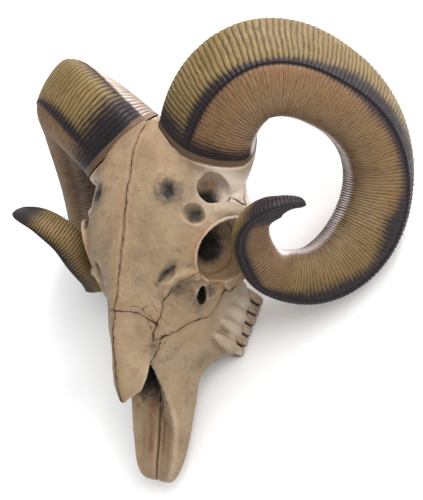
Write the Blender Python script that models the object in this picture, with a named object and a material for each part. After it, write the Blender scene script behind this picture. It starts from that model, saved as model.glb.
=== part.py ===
"""A ram's skull with its two curled horns, life size, lying as it rests on a flat surface.

The skull is drawn in its own frame first: +X is its left side, +Y runs from the front teeth
gap to the back of the head, +Z is the roof, and zero height is the chewing face of the teeth.
It is then pitched and set down so that it stands on its horns and its cheek teeth.
All lengths below are millimetres until they are multiplied by MM.
"""
import math

import bmesh
import bpy
import numpy as np
from mathutils import Matrix, Vector

MM = 0.001
GAP = 0.35                      # clear space left between neighbouring bones

# How the skull lies on the floor.
REST_PITCH = math.radians(0.8)
REST_FLAT = 3.2                 # how much of each resting point is worn flat

# Lines drawn along the skull, as (distance from the snout tip, half width, height).  ROOF_FALL says
# how much of the roof's fall towards its edge lies in its inner half.
ROOF_LINE = ((1, 18), (5, 21), (15, 24), (30, 28), (50, 35), (68, 56), (80, 72), (88, 86), (96, 103),
             (111, 112), (130, 116), (150, 120), (190, 129), (216, 134), (232, 136), (250, 133),
             (262, 127), (276, 106), (290, 84))
ROOF_EDGE = ((1, 8, 19), (5, 13, 24), (15, 18, 28), (30, 20.5, 34), (45, 21.5, 41), (68, 18, 57),
             (86, 17, 78), (99, 20, 90), (112, 23, 93), (127, 29.5, 93.5), (141, 37, 98), (152, 46, 100.5),
             (165, 55, 103), (180, 61, 103), (195, 64, 101), (206, 58, 108), (216, 54, 112),
             (230, 50, 116), (250, 40, 118), (265, 30, 108), (290, 16, 80))
ROOF_FALL = ((-2, 0.28), (50, 0.40), (111, 0.42), (130, 0.34), (145, 0.27), (180, 0.14), (203, 0.09),
             (235, 0.12), (262, 0.2), (290, 0.28))
ROOF_BEND = 0.55                # where that inner half ends, as a share of the half width
CHEEK_SWELL = 1.5               # how far the cheek swells between roof edge and widest side
WIDEST_SIDE = ((1, 10, 18), (5, 15.5, 20), (15, 19.5, 21), (30, 21.8, 22), (68, 22.5, 34), (90, 26, 45),
               (105, 36, 50), (127, 46, 62), (141, 53, 68), (152, 58, 68), (170, 64, 68), (190, 66, 74),
               (205, 54, 80), (216, 46, 84), (240, 44, 84), (262, 40, 80), (290, 18, 72))
JAW_EDGE = ((1, 8, 16), (5, 14, 14), (15, 18, 14), (30, 20.5, 14.5), (68, 20.5, 17), (90, 25, 23),
            (104, 36, 19), (112, 40, 13), (158, 48, 13), (168, 42, 22), (182, 30, 36), (205, 22, 46),
            (250, 24, 50), (290, 12, 64))
PALATE_LINE = ((1, 16), (5, 13), (60, 15), (90, 20), (150, 22), (168, 28), (190, 40), (215, 48),
               (262, 54), (290, 64))

# The nose roof, as (distance from the snout tip, half width, height) of its edge.
NOSE_EDGE = ((48, 3, 75), (54, 8, 75), (61, 12.5, 77.5), (75, 17, 80), (86, 17.5, 82), (99, 20.5, 89),
             (118, 25, 93))
NOSE_MIDLINE = ((48, 76), (54, 84), (66, 93), (80, 101), (93, 107), (111, 112.5), (118, 114))
NOSE_GABLE = 1.35                # 1 would be a plain gable, 2 a round arch
NOSE_THICK = 5.0

# Eye socket.
ORBIT_CENTRE = (67, 171, 85)
ORBIT_FACING = (0.80, -0.50, 0.34)
ORBIT_RADIUS = 22
ORBIT_STRETCH = 1.16            # its length along the skull against its height
ORBIT_DEPTH = 34
ORBIT_RIM = 3.6

# Cheek teeth.
TOOTH_COUNT = 6
TOOTH_FIRST = (37.5, 113.5, 0.0)
TOOTH_LAST = (43.5, 158, -3.5)
TOOTH_WIDTH = 13.5
TOOTH_HEIGHT = 23

# Horn: a spiral about an axis, with its radius and sideways drift at equal steps of its turn.
HORN_CENTRE = (60.8, 231.7, 55.0)
HORN_AXIS = (-0.666, 0.606, -0.435)
HORN_START = (-0.322, 0.293, 0.900)
HORN_TURN = math.radians(414)
HORN_RADII = (63.9, 101.8, 101.4, 95.5, 80.7, 64.6, 48.3, 33.5, 28.2, 27.8, 28.2, 28.5)
HORN_DRIFT = (-0.8, -19.7, -26.2, -35.2, -49.2, -58.5, -58.9, -66.9, -73.6, -85.0, -98.2, -101.6)
# The three keels of its section at eighths of the turn, as reach from the centre and angle.
FRONT_KEEL = ((27.8, -56), (28.0, -79), (28.5, -74), (27.9, -68), (22.0, -70), (17.6, -67), (13.8, -64),
              (10.4, -63), (7.0, -62))
CROWN_KEEL = ((40.3, 39), (36.5, 26), (28.3, 21), (21.8, 16), (13.9, 12), (9.8, 7), (9.3, 3), (8.0, 2),
              (6.5, 2))
INNER_KEEL = ((48.6, 221), (43.6, 211), (37.2, 205), (37.4, 189), (32.6, 188), (26.4, 187), (24.2, 166),
              (22.3, 143), (17.0, 120))
# How far each face swells between its keels, at the foot and at the tip, as a share of its width.
FRONT_SWELL = (0.074, 0.074)
MIDDLE_SWELL = (0.717, 0.328)
SIDE_SWELL = (0.144, 0.144)
HORN_RINGS = 36
HORN_SIDES = 16
HORN_CROWDING = 1.1                       # above 1, rings stand closer near the foot
HORN_CORNER = 0.30                        # share of each face that rounds into its corner

# How finely the fused skull is kept.
SKULL_TRIANGLES = 1960
FLAT_ENOUGH = math.radians(4)


def clear_scene():
    for item in list(bpy.data.objects):
        bpy.data.objects.remove(item, do_unlink=True)


def smooth_at(knots, position):
    """Read a smooth line through knots whose first value is the position along it."""
    spots = [knot[0] for knot in knots]
    values = [np.array(knot[1:], float) for knot in knots]
    position = min(max(position, spots[0]), spots[-1])
    k = max(i for i in range(len(spots) - 1) if spots[i] <= position)
    span = spots[k + 1] - spots[k]
    t = (position - spots[k]) / span

    def slope(i):
        low, high = max(i - 1, 0), min(i + 1, len(spots) - 1)
        return (values[high] - values[low]) / (spots[high] - spots[low]) * span

    return ((2 * t**3 - 3 * t**2 + 1) * values[k] + (t**3 - 2 * t**2 + t) * slope(k)
            + (3 * t**2 - 2 * t**3) * values[k + 1] + (t**3 - t**2) * slope(k + 1))


def evenly(values, share):
    """Read a smooth line through values that stand at equal steps from 0 to 1."""
    knots = [(i / (len(values) - 1), *np.atleast_1d(value)) for i, value in enumerate(values)]
    return smooth_at(knots, share)


def closed_curve(points, count):
    """A smooth closed curve through points, read at count equal steps."""
    points = [np.array(p, float) for p in points]
    total = len(points)
    curve = []
    for step in range(count):
        place = step * total / count
        i = int(place)
        t = place - i
        before, here, there, after = (points[(i + k) % total] for k in (-1, 0, 1, 2))
        lead, trail = (there - before) / 2, (after - here) / 2
        curve.append((2 * t**3 - 3 * t**2 + 1) * here + (t**3 - 2 * t**2 + t) * lead
                     + (3 * t**2 - 2 * t**3) * there + (t**3 - t**2) * trail)
    return curve


def object_from(name, bm):
    bmesh.ops.recalc_face_normals(bm, faces=bm.faces)
    mesh = bpy.data.meshes.new(name)
    bm.to_mesh(mesh)
    bm.free()
    item = bpy.data.objects.new(name, mesh)
    bpy.context.scene.collection.objects.link(item)
    return item


def loft(name, rings):
    """Join rings of points, all given in millimetres, into one closed body."""
    bm = bmesh.new()
    rows = [[bm.verts.new(Vector(p) * MM) for p in ring] for ring in rings]
    for low, high in zip(rows, rows[1:]):
        for i in range(len(low)):
            j = (i + 1) % len(low)
            bm.faces.new((low[i], low[j], high[j], high[i]))
    for row in (rows[0], rows[-1]):
        middle = bm.verts.new(sum((v.co for v in row), Vector()) / len(row))
        for i in range(len(row)):
            bm.faces.new((row[i], row[(i + 1) % len(row)], middle))
    return object_from(name, bm)


def ellipsoid(name, centre, radii, facing=None, segments=14):
    """An ellipsoid; where it faces a direction, that is its first radius."""
    bm = bmesh.new()
    turn = Matrix.Identity(4)
    if facing is not None:
        turn = Vector(facing).to_track_quat('X', 'Z').to_matrix().to_4x4()
    place = Matrix.Translation(Vector(centre) * MM) @ turn @ Matrix.Diagonal((*(Vector(radii) * MM), 1))
    bmesh.ops.create_uvsphere(bm, u_segments=segments, v_segments=segments // 2, radius=1, matrix=place)
    return object_from(name, bm)


def block(name, low, high):
    """A box between two corners in millimetres."""
    low, high = Vector(low) * MM, Vector(high) * MM
    bm = bmesh.new()
    place = Matrix.Translation((low + high) / 2) @ Matrix.Diagonal((*(high - low), 1))
    bmesh.ops.create_cube(bm, size=1, matrix=place)
    return object_from(name, bm)


def tube(name, points, radii, sides=12, steps=24):
    """A round bar along a smooth line, with a radius at each of its points."""
    line = [(i / (len(points) - 1), *p) for i, p in enumerate(points)]
    width = [(i / (len(radii) - 1), r) for i, r in enumerate(radii)]
    rings = []
    for step in range(steps + 1):
        share = step / steps
        here = Vector(smooth_at(line, share))
        ahead = Vector(smooth_at(line, min(share + 0.01, 1)))
        behind = Vector(smooth_at(line, max(share - 0.01, 0)))
        turn = (ahead - behind).to_track_quat('Z', 'Y').to_matrix()
        radius = smooth_at(width, share)[0]
        rings.append([here + turn @ Vector((radius * math.cos(a), radius * math.sin(a), 0))
                      for a in np.linspace(0, 2 * math.pi, sides, endpoint=False)])
    return loft(name, rings)


def ring_bar(name, centre, facing, radius, thickness, stretch, segments=32, sides=8):
    """A closed oval bar about a centre, facing a direction and stretched along the skull."""
    turn = Vector(facing).to_track_quat('Z', 'Y').to_matrix()
    bm = bmesh.new()
    rows = []
    for a in np.linspace(0, 2 * math.pi, segments, endpoint=False):
        out = Vector((math.cos(a) * stretch, math.sin(a), 0))
        row = []
        for b in np.linspace(0, 2 * math.pi, sides, endpoint=False):
            spot = out * (radius + thickness * math.cos(b)) + Vector((0, 0, thickness * math.sin(b)))
            row.append(bm.verts.new((Vector(centre) + turn @ spot) * MM))
        rows.append(row)
    for i in range(segments):
        low, high = rows[i], rows[(i + 1) % segments]
        for k in range(sides):
            m = (k + 1) % sides
            bm.faces.new((low[k], low[m], high[m], high[k]))
    return object_from(name, bm)


def settle(item, modifier_kind=None, **settings):
    """Add one modifier and keep its result as the object's own mesh."""
    modifier = item.modifiers.new('step', modifier_kind)
    for key, value in settings.items():
        setattr(modifier, key, value)
    shaped = item.evaluated_get(bpy.context.evaluated_depsgraph_get())
    mesh = bpy.data.meshes.new_from_object(shaped)
    item.modifiers.clear()
    item.data = mesh
    return item


def combine(item, other, operation):
    """Join, cut or keep an object's shape with another, which is then removed."""
    settle(item, 'BOOLEAN', operation=operation, object=other, solver='EXACT')
    bpy.data.objects.remove(other, do_unlink=True)
    return item


def mirrored(item, name):
    """A copy of an object on the skull's other side."""
    bm = bmesh.new()
    bm.from_mesh(item.data)
    bmesh.ops.scale(bm, vec=(-1, 1, 1), verts=bm.verts)
    bmesh.ops.reverse_faces(bm, faces=bm.faces)
    return object_from(name, bm)


def both_sides(item):
    return [item, mirrored(item, item.name + '_far')]


def copy_of(item, name):
    twin = item.copy()
    twin.data = item.data.copy()
    twin.name = name
    bpy.context.scene.collection.objects.link(twin)
    return twin


# ---- Horns -------------------------------------------------------------------------------------

def horn_frame(share):
    """Centre of the horn's section and its three directions, at a share of its turn."""
    axis = Vector(HORN_AXIS).normalized()
    start = Vector(HORN_START)
    start = (start - start.project(axis)).normalized()
    side = axis.cross(start)

    def centre(at):
        angle = HORN_TURN * at
        radius = evenly(HORN_RADII, at)[0]
        drift = evenly(HORN_DRIFT, at)[0]
        out = start * math.cos(angle) + side * math.sin(angle)
        return Vector(HORN_CENTRE) + out * radius + axis * drift

    along = (centre(min(share + 0.004, 1)) - centre(max(share - 0.004, 0))).normalized()
    across = (axis - axis.project(along)).normalized()
    outward = along.cross(across)
    return centre(share), along, outward, across


def keel_spot(keel, share):
    reach, angle = evenly(keel, share)
    return Vector((reach * math.cos(math.radians(angle)), reach * math.sin(math.radians(angle))))


def horn_section(share, grow=0.0):
    """Points round the horn's rounded three-sided section, in its own plane."""
    corners = [keel_spot(keel, share) for keel in (FRONT_KEEL, CROWN_KEEL, INNER_KEEL)]
    middle = sum(corners, Vector((0, 0))) / 3
    outline = []
    for i, (foot, tip) in enumerate((FRONT_SWELL, MIDDLE_SWELL, SIDE_SWELL)):
        bulge = foot + (tip - foot) * share
        here, there = corners[i], corners[(i + 1) % 3]
        face = there - here
        normal = Vector((face.y, -face.x))
        if normal.dot((here + there) / 2 - middle) < 0:
            normal.negate()
        for t in np.linspace(0, 1, 9)[:-1]:
            outline.append(here + face * t + normal * bulge * 4 * t * (1 - t))
    # Rounding: each point moves towards the mean of its neighbours.
    for _ in range(3):
        count = len(outline)
        outline = [outline[i] * (1 - HORN_CORNER)
                   + (outline[i - 1] + outline[(i + 1) % count]) * HORN_CORNER / 2 for i in range(count)]
    count = len(outline)
    points = []
    for k in range(HORN_SIDES):
        place = k * count / HORN_SIDES
        i = int(place)
        spot = outline[i % count].lerp(outline[(i + 1) % count], place - i)
        points.append(spot + (spot - middle).normalized() * grow)
    return points


def make_horn(name, grow=0.0):
    rings = []
    for share in np.linspace(0, 1, HORN_RINGS)**HORN_CROWDING:
        centre, along, outward, across = horn_frame(share)
        if share == 0:
            centre = centre - along * grow
        rings.append([centre + outward * p.x + across * p.y for p in horn_section(share, grow)])
    centre, along, outward, across = horn_frame(1.0)
    for step, shrink in ((2.0, 0.8), (3.4, 0.45)):
        rings.append([centre + along * step + (outward * p.x + across * p.y) * shrink
                      for p in horn_section(1.0, grow)])
    return loft(name, rings)


# ---- Skull -------------------------------------------------------------------------------------

def skull_section(y, count=32):
    """Points round the skull's cross-section at a distance from the snout tip."""
    roof = smooth_at(ROOF_LINE, y)[0]
    edge = smooth_at(ROOF_EDGE, y)
    side = smooth_at(WIDEST_SIDE, y)
    jaw = smooth_at(JAW_EDGE, y)
    palate = smooth_at(PALATE_LINE, y)[0]
    fall = smooth_at(ROOF_FALL, y)[0]
    right = [(0, roof), (edge[0] * ROOF_BEND, roof + (edge[1] - roof) * fall), tuple(edge),
             ((edge[0] + side[0]) / 2 + CHEEK_SWELL, (edge[1] + side[1]) / 2), tuple(side),
             ((side[0] + jaw[0]) / 2, (side[1] + jaw[1]) / 2), tuple(jaw), (jaw[0] * 0.5, palate)]
    left = [(-x, z) for x, z in reversed(right[1:])]
    return [(x, y, z) for x, z in closed_curve(right + [(0, palate)] + left, count)]


def make_head():
    stations = list(np.linspace(1, 20, 6)) + list(np.linspace(26, 286, 53)) + [290]
    return loft('head', [skull_section(y) for y in stations])


def make_nose_roof():
    rings = []
    for y in np.linspace(48, 118, 20):
        half, low = smooth_at(NOSE_EDGE, y)
        high = smooth_at(NOSE_MIDLINE, y)[0]
        top = [(half * t, low + (high - low) * (1 - abs(t)**NOSE_GABLE)) for t in np.linspace(-1, 1, 9)]
        under = [(x * 0.86, z - NOSE_THICK) for x, z in reversed(top)]
        rings.append([(x, y, z) for x, z in top + under])
    return loft('nose', rings)


def make_pedicle():
    """The bony core that the horn sits on, as wide as the horn's base."""
    centre, along, outward, across = horn_frame(0)
    rings = []
    for back, size in ((-1.0, 1.0), (-10, 1.0), (-24, 0.96), (-44, 0.7)):
        rings.append([centre + along * back + (outward * p.x + across * p.y) * size
                      for p in horn_section(0)])
    return loft('pedicle', rings)


def skull_additions():
    parts = [make_nose_roof()]
    parts += both_sides(make_pedicle())
    parts += both_sides(ring_bar('rim', ORBIT_CENTRE, ORBIT_FACING, ORBIT_RADIUS, ORBIT_RIM,
                                 ORBIT_STRETCH))
    arch = [(56, 150, 64), (67, 166, 60), (71, 190, 62), (58, 218, 66), (46, 242, 70)]
    parts += both_sides(tube('arch', arch, (7, 6.5, 6, 6, 8)))
    parts += both_sides(ellipsoid('temple_wall', (47, 223, 76), (16, 29, 15)))
    bar = [(58, 196, 100), (69, 200, 92), (73, 200, 78), (70, 194, 64)]
    parts += both_sides(tube('orbit_bar', bar, (8, 6, 5.5, 6)))
    parts += both_sides(ellipsoid('condyle', (12, 287, 68), (9, 9, 12)))
    parts += both_sides(ellipsoid('bulla', (22, 250, 52), (9, 14, 10)))
    parts += both_sides(tube('spur', [(28, 268, 70), (29, 272, 56), (27, 270, 42)], (8, 6, 3.5)))
    return parts


def melt(parts, name, voxel=2.0, smoothing=6):
    """Fuse overlapping parts into one smooth closed body."""
    bm = bmesh.new()
    for part in parts:
        bm.from_mesh(part.data)
        bpy.data.objects.remove(part, do_unlink=True)
    body = object_from(name, bm)
    settle(body, 'REMESH', mode='VOXEL', voxel_size=voxel * MM)
    settle(body, 'SMOOTH', factor=0.5, iterations=smoothing)
    return body


def nasal_trough():
    """The open nose passage between the jaw tips and under the nose roof."""
    rings = []
    for y, half, floor, top in ((-4, 2.5, 25, 50), (15, 6, 26, 60), (32, 12, 28, 70), (50, 14, 34, 80),
                                (68, 15, 38, 78), (86, 14, 40, 84), (110, 12, 44, 84), (135, 8, 50, 78)):
        low = [(-2.5, y, floor), (2.5, y, floor)]
        high = [(half, y, min(top, floor + 34)), (half * 0.7, y, top), (-half * 0.7, y, top),
                (-half, y, min(top, floor + 34))]
        rings.append(low + high)
    return loft('trough', rings)


def hollows():
    """Everything that is cut out of the skull."""
    socket = Vector(ORBIT_CENTRE) + Vector(ORBIT_FACING).normalized() * 4
    socket_length = ORBIT_RADIUS * ORBIT_STRETCH
    cutters = both_sides(ellipsoid('socket', socket, (ORBIT_DEPTH, socket_length, ORBIT_RADIUS),
                                   facing=ORBIT_FACING, segments=18))
    cutters += both_sides(ellipsoid('temple', (57, 209, 104), (9, 11, 15)))
    cutters += both_sides(ellipsoid('dimple', (37, 204, 139), (15, 12, 13)))
    cutters += both_sides(ellipsoid('dimple_low', (53, 190, 121), (9, 9, 13)))
    cutters += both_sides(ellipsoid('tear_pit', (35, 147, 111), (9, 8, 9)))
    cutters += both_sides(ellipsoid('cheek_pit', (50, 139, 80), (9, 8, 12)))
    cutters.append(nasal_trough())
    cutters.append(block('tip_slot', (-1.2, -10, 0), (1.2, 58, 60)))
    cutters.append(ellipsoid('throat', (0, 196, 26), (15, 40, 18)))
    cutters.append(ellipsoid('palate_hollow', (0, 140, 6), (30, 42, 14)))
    cutters.append(ellipsoid('spine_hole', (0, 296, 86), (9, 24, 9)))
    return cutters


def make_skull():
    skull = melt([make_head()] + skull_additions(), 'skull')
    settle(skull, 'DECIMATE', ratio=min(1.0, SKULL_TRIANGLES / (2 * len(skull.data.polygons))))
    for cutter in hollows() + both_sides(make_horn('horn_room', GAP)):
        combine(skull, cutter, 'DIFFERENCE')
    return skull


def tooth(index):
    share = index / (TOOTH_COUNT - 1)
    x, y, z = (a + (b - a) * share for a, b in zip(TOOTH_FIRST, TOOTH_LAST))
    long_side = 8.6 + 1.6 * math.sin(math.pi * share)
    bm = bmesh.new()
    size = Vector((TOOTH_WIDTH, long_side, TOOTH_HEIGHT)) * MM
    middle = Vector((x, y, z + TOOTH_HEIGHT / 2)) * MM
    bmesh.ops.create_cube(bm, size=1, matrix=Matrix.Translation(middle) @ Matrix.Diagonal((*size, 1)))
    bmesh.ops.bevel(bm, geom=bm.edges[:], offset=1.8 * MM, segments=1, affect='EDGES')
    return object_from(f'tooth_{index}', bm)


def prism(name, outline, low, high, axis, grow=0.0):
    """A straight-sided body over an outline: axis 2 gives (x, y) points, axis 0 gives (y, z) points."""
    middle = sum((Vector(p) for p in outline), Vector((0, 0))) / len(outline)
    rings = []
    for level in (low - grow, high + grow):
        ring = []
        for i, p in enumerate(outline):
            here = Vector(p)
            before, after = Vector(outline[i - 1]), Vector(outline[(i + 1) % len(outline)])
            edge_a, edge_b = (here - before).normalized(), (after - here).normalized()
            normal = Vector((edge_a.y + edge_b.y, -edge_a.x - edge_b.x))
            normal = normal.normalized() if normal.length > 1e-6 else Vector((edge_a.y, -edge_a.x))
            if signed_area(outline) < 0:
                normal.negate()
            q = here + normal * grow
            ring.append((level, q.x, q.y) if axis == 0 else (q.x, q.y, level))
        rings.append(ring)
    return loft(name, rings)


def signed_area(outline):
    return sum(a[0] * b[1] - b[0] * a[1] for a, b in zip(outline, outline[1:] + outline[:1])) / 2


# ---- Division into bones -----------------------------------------------------------------------
# Outlines of the bones: seen from above as (x, y), or from the side as (y, z).

NOSE_PLAN = [(-1, 30), (30, 30), (30, 60), (24, 86), (22.5, 94), (25, 99), (28, 105), (25, 110),
             (16, 113), (8, 114.5), (-1, 112)]
NOSE_SIDE = [(40, 55), (55, 61), (70, 68), (84, 77), (99, 82), (118, 90), (118, 140), (30, 140)]
CHEEK_SIDE = [(99, 87), (104, 90), (115, 93), (127, 98), (135, 101), (142, 104), (150, 98), (160, 84),
              (214, 84), (214, 50), (168, 50), (156, 55), (150, 63), (141, 60), (132, 59), (126, 62),
              (121, 69), (110, 76), (104, 82)]
CHEEK_PLAN = [(20, 90), (21, 120), (32, 136), (46, 150), (56, 166), (58, 214), (110, 214), (110, 90)]
JAW_SIDE = [(-20, 30), (40, 55), (55, 61), (70, 68), (84, 77), (97, 83), (104, 82), (110, 76), (121, 69),
            (126, 62), (132, 59), (141, 60), (150, 61), (158, 50), (172, 36), (172, -30), (-20, -30)]
BRAIN_SIDE = [(178, 62), (178, 15), (310, 15), (310, 150), (272, 150), (266, 120), (254, 84),
              (228, 72), (202, 66)]
FAR = 120                       # beyond the skull on either side


def largest_body(item):
    """Drop crumbs that a cut leaves beside the piece itself."""
    bm = bmesh.new()
    bm.from_mesh(item.data)
    seen, groups = set(), []
    for vert in bm.verts:
        if vert in seen:
            continue
        group, queue = [], [vert]
        seen.add(vert)
        while queue:
            here = queue.pop()
            group.append(here)
            for edge in here.link_edges:
                other = edge.other_vert(here)
                if other not in seen:
                    seen.add(other)
                    queue.append(other)
        groups.append(group)
    groups.sort(key=len, reverse=True)
    for group in groups[1:]:
        bmesh.ops.delete(bm, geom=group, context='VERTS')
    bm.to_mesh(item.data)
    bm.free()
    return item


def flatten_slivers(item):
    """Merge faces that lie almost in one plane."""
    bm = bmesh.new()
    bm.from_mesh(item.data)
    bmesh.ops.dissolve_limit(bm, angle_limit=FLAT_ENOUGH, verts=bm.verts, edges=bm.edges)
    bmesh.ops.triangulate(bm, faces=bm.faces)
    bm.to_mesh(item.data)
    bm.free()


def region(kind, grow=0.0):
    """The space that one bone takes of the whole skull."""
    if kind == 'nasal':
        return combine(prism('nose_side', NOSE_SIDE, -FAR, FAR, 0, grow),
                       prism('nose_plan', NOSE_PLAN, 0, 160, 2, grow), 'INTERSECT')
    if kind == 'zygomatic':
        return combine(prism('cheek_side', CHEEK_SIDE, 0, FAR, 0, grow),
                       prism('cheek_plan', CHEEK_PLAN, 0, 160, 2, grow), 'INTERSECT')
    if kind == 'upper_jaw':
        return prism('jaw', JAW_SIDE, -FAR, FAR, 0, grow)
    return prism('brain', BRAIN_SIDE, -FAR, FAR, 0, grow)


def divide(skull):
    """Part the skull into its bones with thin cuts; returns the bones by name."""
    bones = {}
    braincase = copy_of(skull, 'braincase')
    bones['braincase'] = combine(braincase, region('braincase'), 'INTERSECT')
    half = combine(skull, region('braincase', GAP), 'DIFFERENCE')
    combine(half, block('left_half', (GAP / 2, -50, -50), (FAR, 350, 200)), 'INTERSECT')
    for kind in ('zygomatic', 'nasal', 'upper_jaw'):
        bone = copy_of(half, kind + '_left')
        bones[kind + '_left'] = combine(bone, region(kind), 'INTERSECT')
        half = combine(half, region(kind, GAP), 'DIFFERENCE')
    half.name = 'frontal_left'
    bones['frontal_left'] = half
    for index in range(TOOTH_COUNT):
        combine(bones['upper_jaw_left'], tooth(index), 'UNION')
    for bone in bones.values():
        largest_body(bone)
        flatten_slivers(bone)
    for name in [n for n in bones if n.endswith('_left')]:
        twin = name.replace('_left', '_right')
        bones[twin] = mirrored(bones[name], twin)
    return bones


# ---- Finish and rest ---------------------------------------------------------------------------

def material(name, colour, roughness):
    finish = bpy.data.materials.new(name)
    finish.use_nodes = True
    shader = finish.node_tree.nodes['Principled BSDF']
    shader.inputs['Base Color'].default_value = (*colour, 1)
    shader.inputs['Roughness'].default_value = roughness
    shader.inputs['Metallic'].default_value = 0
    return finish


def lay_down(items):
    """Pitch the model to the way it lies, wear its resting points flat and set them at height zero."""
    turn = Matrix.Rotation(REST_PITCH, 4, 'X')
    for item in items:
        item.data.transform(turn)
    points = np.array([v.co for item in items for v in item.data.vertices])
    low, high = points.min(axis=0), points.max(axis=0)
    floor = low[2] + REST_FLAT * MM
    shift = Matrix.Translation((-(low[0] + high[0]) / 2, -(low[1] + high[1]) / 2, -floor))
    for item in items:
        item.data.transform(shift)
        bm = bmesh.new()
        bm.from_mesh(item.data)
        cut = bmesh.ops.bisect_plane(bm, geom=bm.verts[:] + bm.edges[:] + bm.faces[:], dist=1e-7,
                                     plane_co=(0, 0, 0), plane_no=(0, 0, 1), clear_inner=True)
        edges = [e for e in cut['geom_cut'] if isinstance(e, bmesh.types.BMEdge)]
        if edges:
            bmesh.ops.holes_fill(bm, edges=edges)
        bm.to_mesh(item.data)
        bm.free()


def finish(item, look):
    item.data.materials.clear()
    item.data.materials.append(look)
    item.data.shade_smooth()
    item.data.set_sharp_from_angle(angle=math.radians(40))


def main():
    clear_scene()
    bones = divide(make_skull())
    bones['horn_left'] = make_horn('horn_left')
    bones['horn_right'] = mirrored(bones['horn_left'], 'horn_right')
    lay_down(bones.values())
    for name, bone in bones.items():
        bone.name = name
        bone.data.name = name
        if name.startswith('horn'):
            finish(bone, material(name, (0.36, 0.27, 0.13), 0.5))
        else:
            finish(bone, material(name, (0.52, 0.42, 0.30), 0.6))


main()
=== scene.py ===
"""A ram's skull with two curled horns, cast in resin and painted, lying on a pale floor."""
import math

import bmesh
import bpy
import numpy as np
from mathutils import Matrix, Vector, kdtree, noise


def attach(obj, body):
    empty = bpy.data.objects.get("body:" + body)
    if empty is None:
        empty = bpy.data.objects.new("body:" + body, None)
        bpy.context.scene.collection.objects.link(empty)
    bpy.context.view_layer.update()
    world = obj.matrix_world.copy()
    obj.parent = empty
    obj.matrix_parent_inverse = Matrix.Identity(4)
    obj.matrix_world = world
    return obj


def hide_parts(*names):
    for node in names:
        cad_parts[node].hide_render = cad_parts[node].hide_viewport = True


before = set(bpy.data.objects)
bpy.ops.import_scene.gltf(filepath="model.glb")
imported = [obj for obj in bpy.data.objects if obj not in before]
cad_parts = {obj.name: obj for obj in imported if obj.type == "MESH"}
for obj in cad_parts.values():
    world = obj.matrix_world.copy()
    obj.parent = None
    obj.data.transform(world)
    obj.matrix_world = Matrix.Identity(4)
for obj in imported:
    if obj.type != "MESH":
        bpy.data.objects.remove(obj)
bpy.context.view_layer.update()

# ---- The skull as one casting --------------------------------------------------------------------
# The real piece is one hollow casting in resin, taken from a dry skull: a long snout, a broad brow,
# deep eye sockets and a narrow braincase.  It is drawn here in its own frame, in millimetres from the
# snout tip: +X is the skull's left side, +Y the back of the head, +Z the roof.
MM = 0.001
ROOF_LINE = ((1, 18), (5, 21), (15, 24), (30, 28), (50, 35), (68, 56), (80, 72), (88, 86), (96, 103),
             (111, 112), (130, 116), (150, 120), (190, 129), (216, 134), (232, 136), (250, 133),
             (262, 127), (276, 106), (290, 84))
ROOF_EDGE = ((1, 8, 19), (5, 13, 24), (15, 18, 28), (30, 20.5, 34), (45, 21.5, 41), (68, 18, 57),
             (86, 17, 78), (99, 20, 90), (112, 23, 93), (127, 29.5, 93.5), (141, 37, 98), (152, 46, 100.5),
             (165, 55, 103), (180, 61, 103), (195, 64, 101), (206, 58, 108), (216, 54, 112),
             (230, 50, 116), (250, 40, 118), (265, 30, 108), (290, 16, 80))
ROOF_FALL = ((-2, 0.28), (50, 0.40), (111, 0.42), (130, 0.34), (145, 0.27), (180, 0.14), (203, 0.09),
             (235, 0.12), (262, 0.2), (290, 0.28))
WIDEST_SIDE = ((1, 10, 18), (5, 15.5, 20), (15, 19.5, 21), (30, 21.8, 22), (68, 22.5, 34), (90, 26, 45),
               (105, 36, 50), (127, 46, 62), (141, 53, 68), (152, 58, 68), (170, 64, 68), (190, 66, 74),
               (205, 54, 80), (216, 46, 84), (240, 44, 84), (262, 40, 80), (290, 18, 72))
JAW_EDGE = ((1, 8, 16), (5, 14, 14), (15, 18, 14), (30, 20.5, 14.5), (68, 20.5, 17), (90, 25, 23),
            (104, 36, 19), (112, 40, 13), (158, 48, 13), (168, 42, 22), (182, 30, 36), (205, 22, 46),
            (250, 24, 50), (290, 12, 64))
PALATE_LINE = ((1, 16), (5, 13), (60, 15), (90, 20), (150, 22), (168, 28), (190, 40), (215, 48),
               (262, 54), (290, 64))
ROOF_BEND = 0.55
CHEEK_SWELL = 1.5
SECTION_POINTS = 56
SECTION_STEP = 4.0
FIRST_VOXEL = 1.3
FINE_VOXEL = 0.8


def eased(t, here, there, lead, trail):
    """A share t of the way from here to there, leaving along lead and arriving along trail."""
    return ((2 * t**3 - 3 * t**2 + 1) * here + (t**3 - 2 * t**2 + t) * lead
            + (3 * t**2 - 2 * t**3) * there + (t**3 - t**2) * trail)


def smooth_at(knots, position):
    """Read a smooth line through knots whose first value is the position along it."""
    spots = [knot[0] for knot in knots]
    values = [np.array(knot[1:], float) for knot in knots]
    position = min(max(position, spots[0]), spots[-1])
    k = max(i for i in range(len(spots) - 1) if spots[i] <= position)
    span = spots[k + 1] - spots[k]

    def slope(i):
        low, high = max(i - 1, 0), min(i + 1, len(spots) - 1)
        return (values[high] - values[low]) / (spots[high] - spots[low]) * span

    return eased((position - spots[k]) / span, values[k], values[k + 1], slope(k), slope(k + 1))


def closed_curve(points, places):
    """A smooth closed curve through points, read at places that count from 0 to the number of points."""
    points = [np.array(p, float) for p in points]
    curve = []
    for place in places:
        i = int(place)
        before, here, there, after = (points[(i + k) % len(points)] for k in (-1, 0, 1, 2))
        curve.append(eased(place - i, here, there, (there - before) / 2, (after - here) / 2))
    return curve


def pick(item):
    """Make one object the only selected and active one."""
    bpy.ops.object.select_all(action='DESELECT')
    item.select_set(True)
    bpy.context.view_layer.objects.active = item
    return item


def settle(item, kind, **settings):
    """Put one modifier on an object and apply it."""
    pick(item)
    modifier = item.modifiers.new(kind.title(), kind)
    for key, value in settings.items():
        setattr(modifier, key, value)
    bpy.ops.object.modifier_apply(modifier=modifier.name)
    return item


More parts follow.
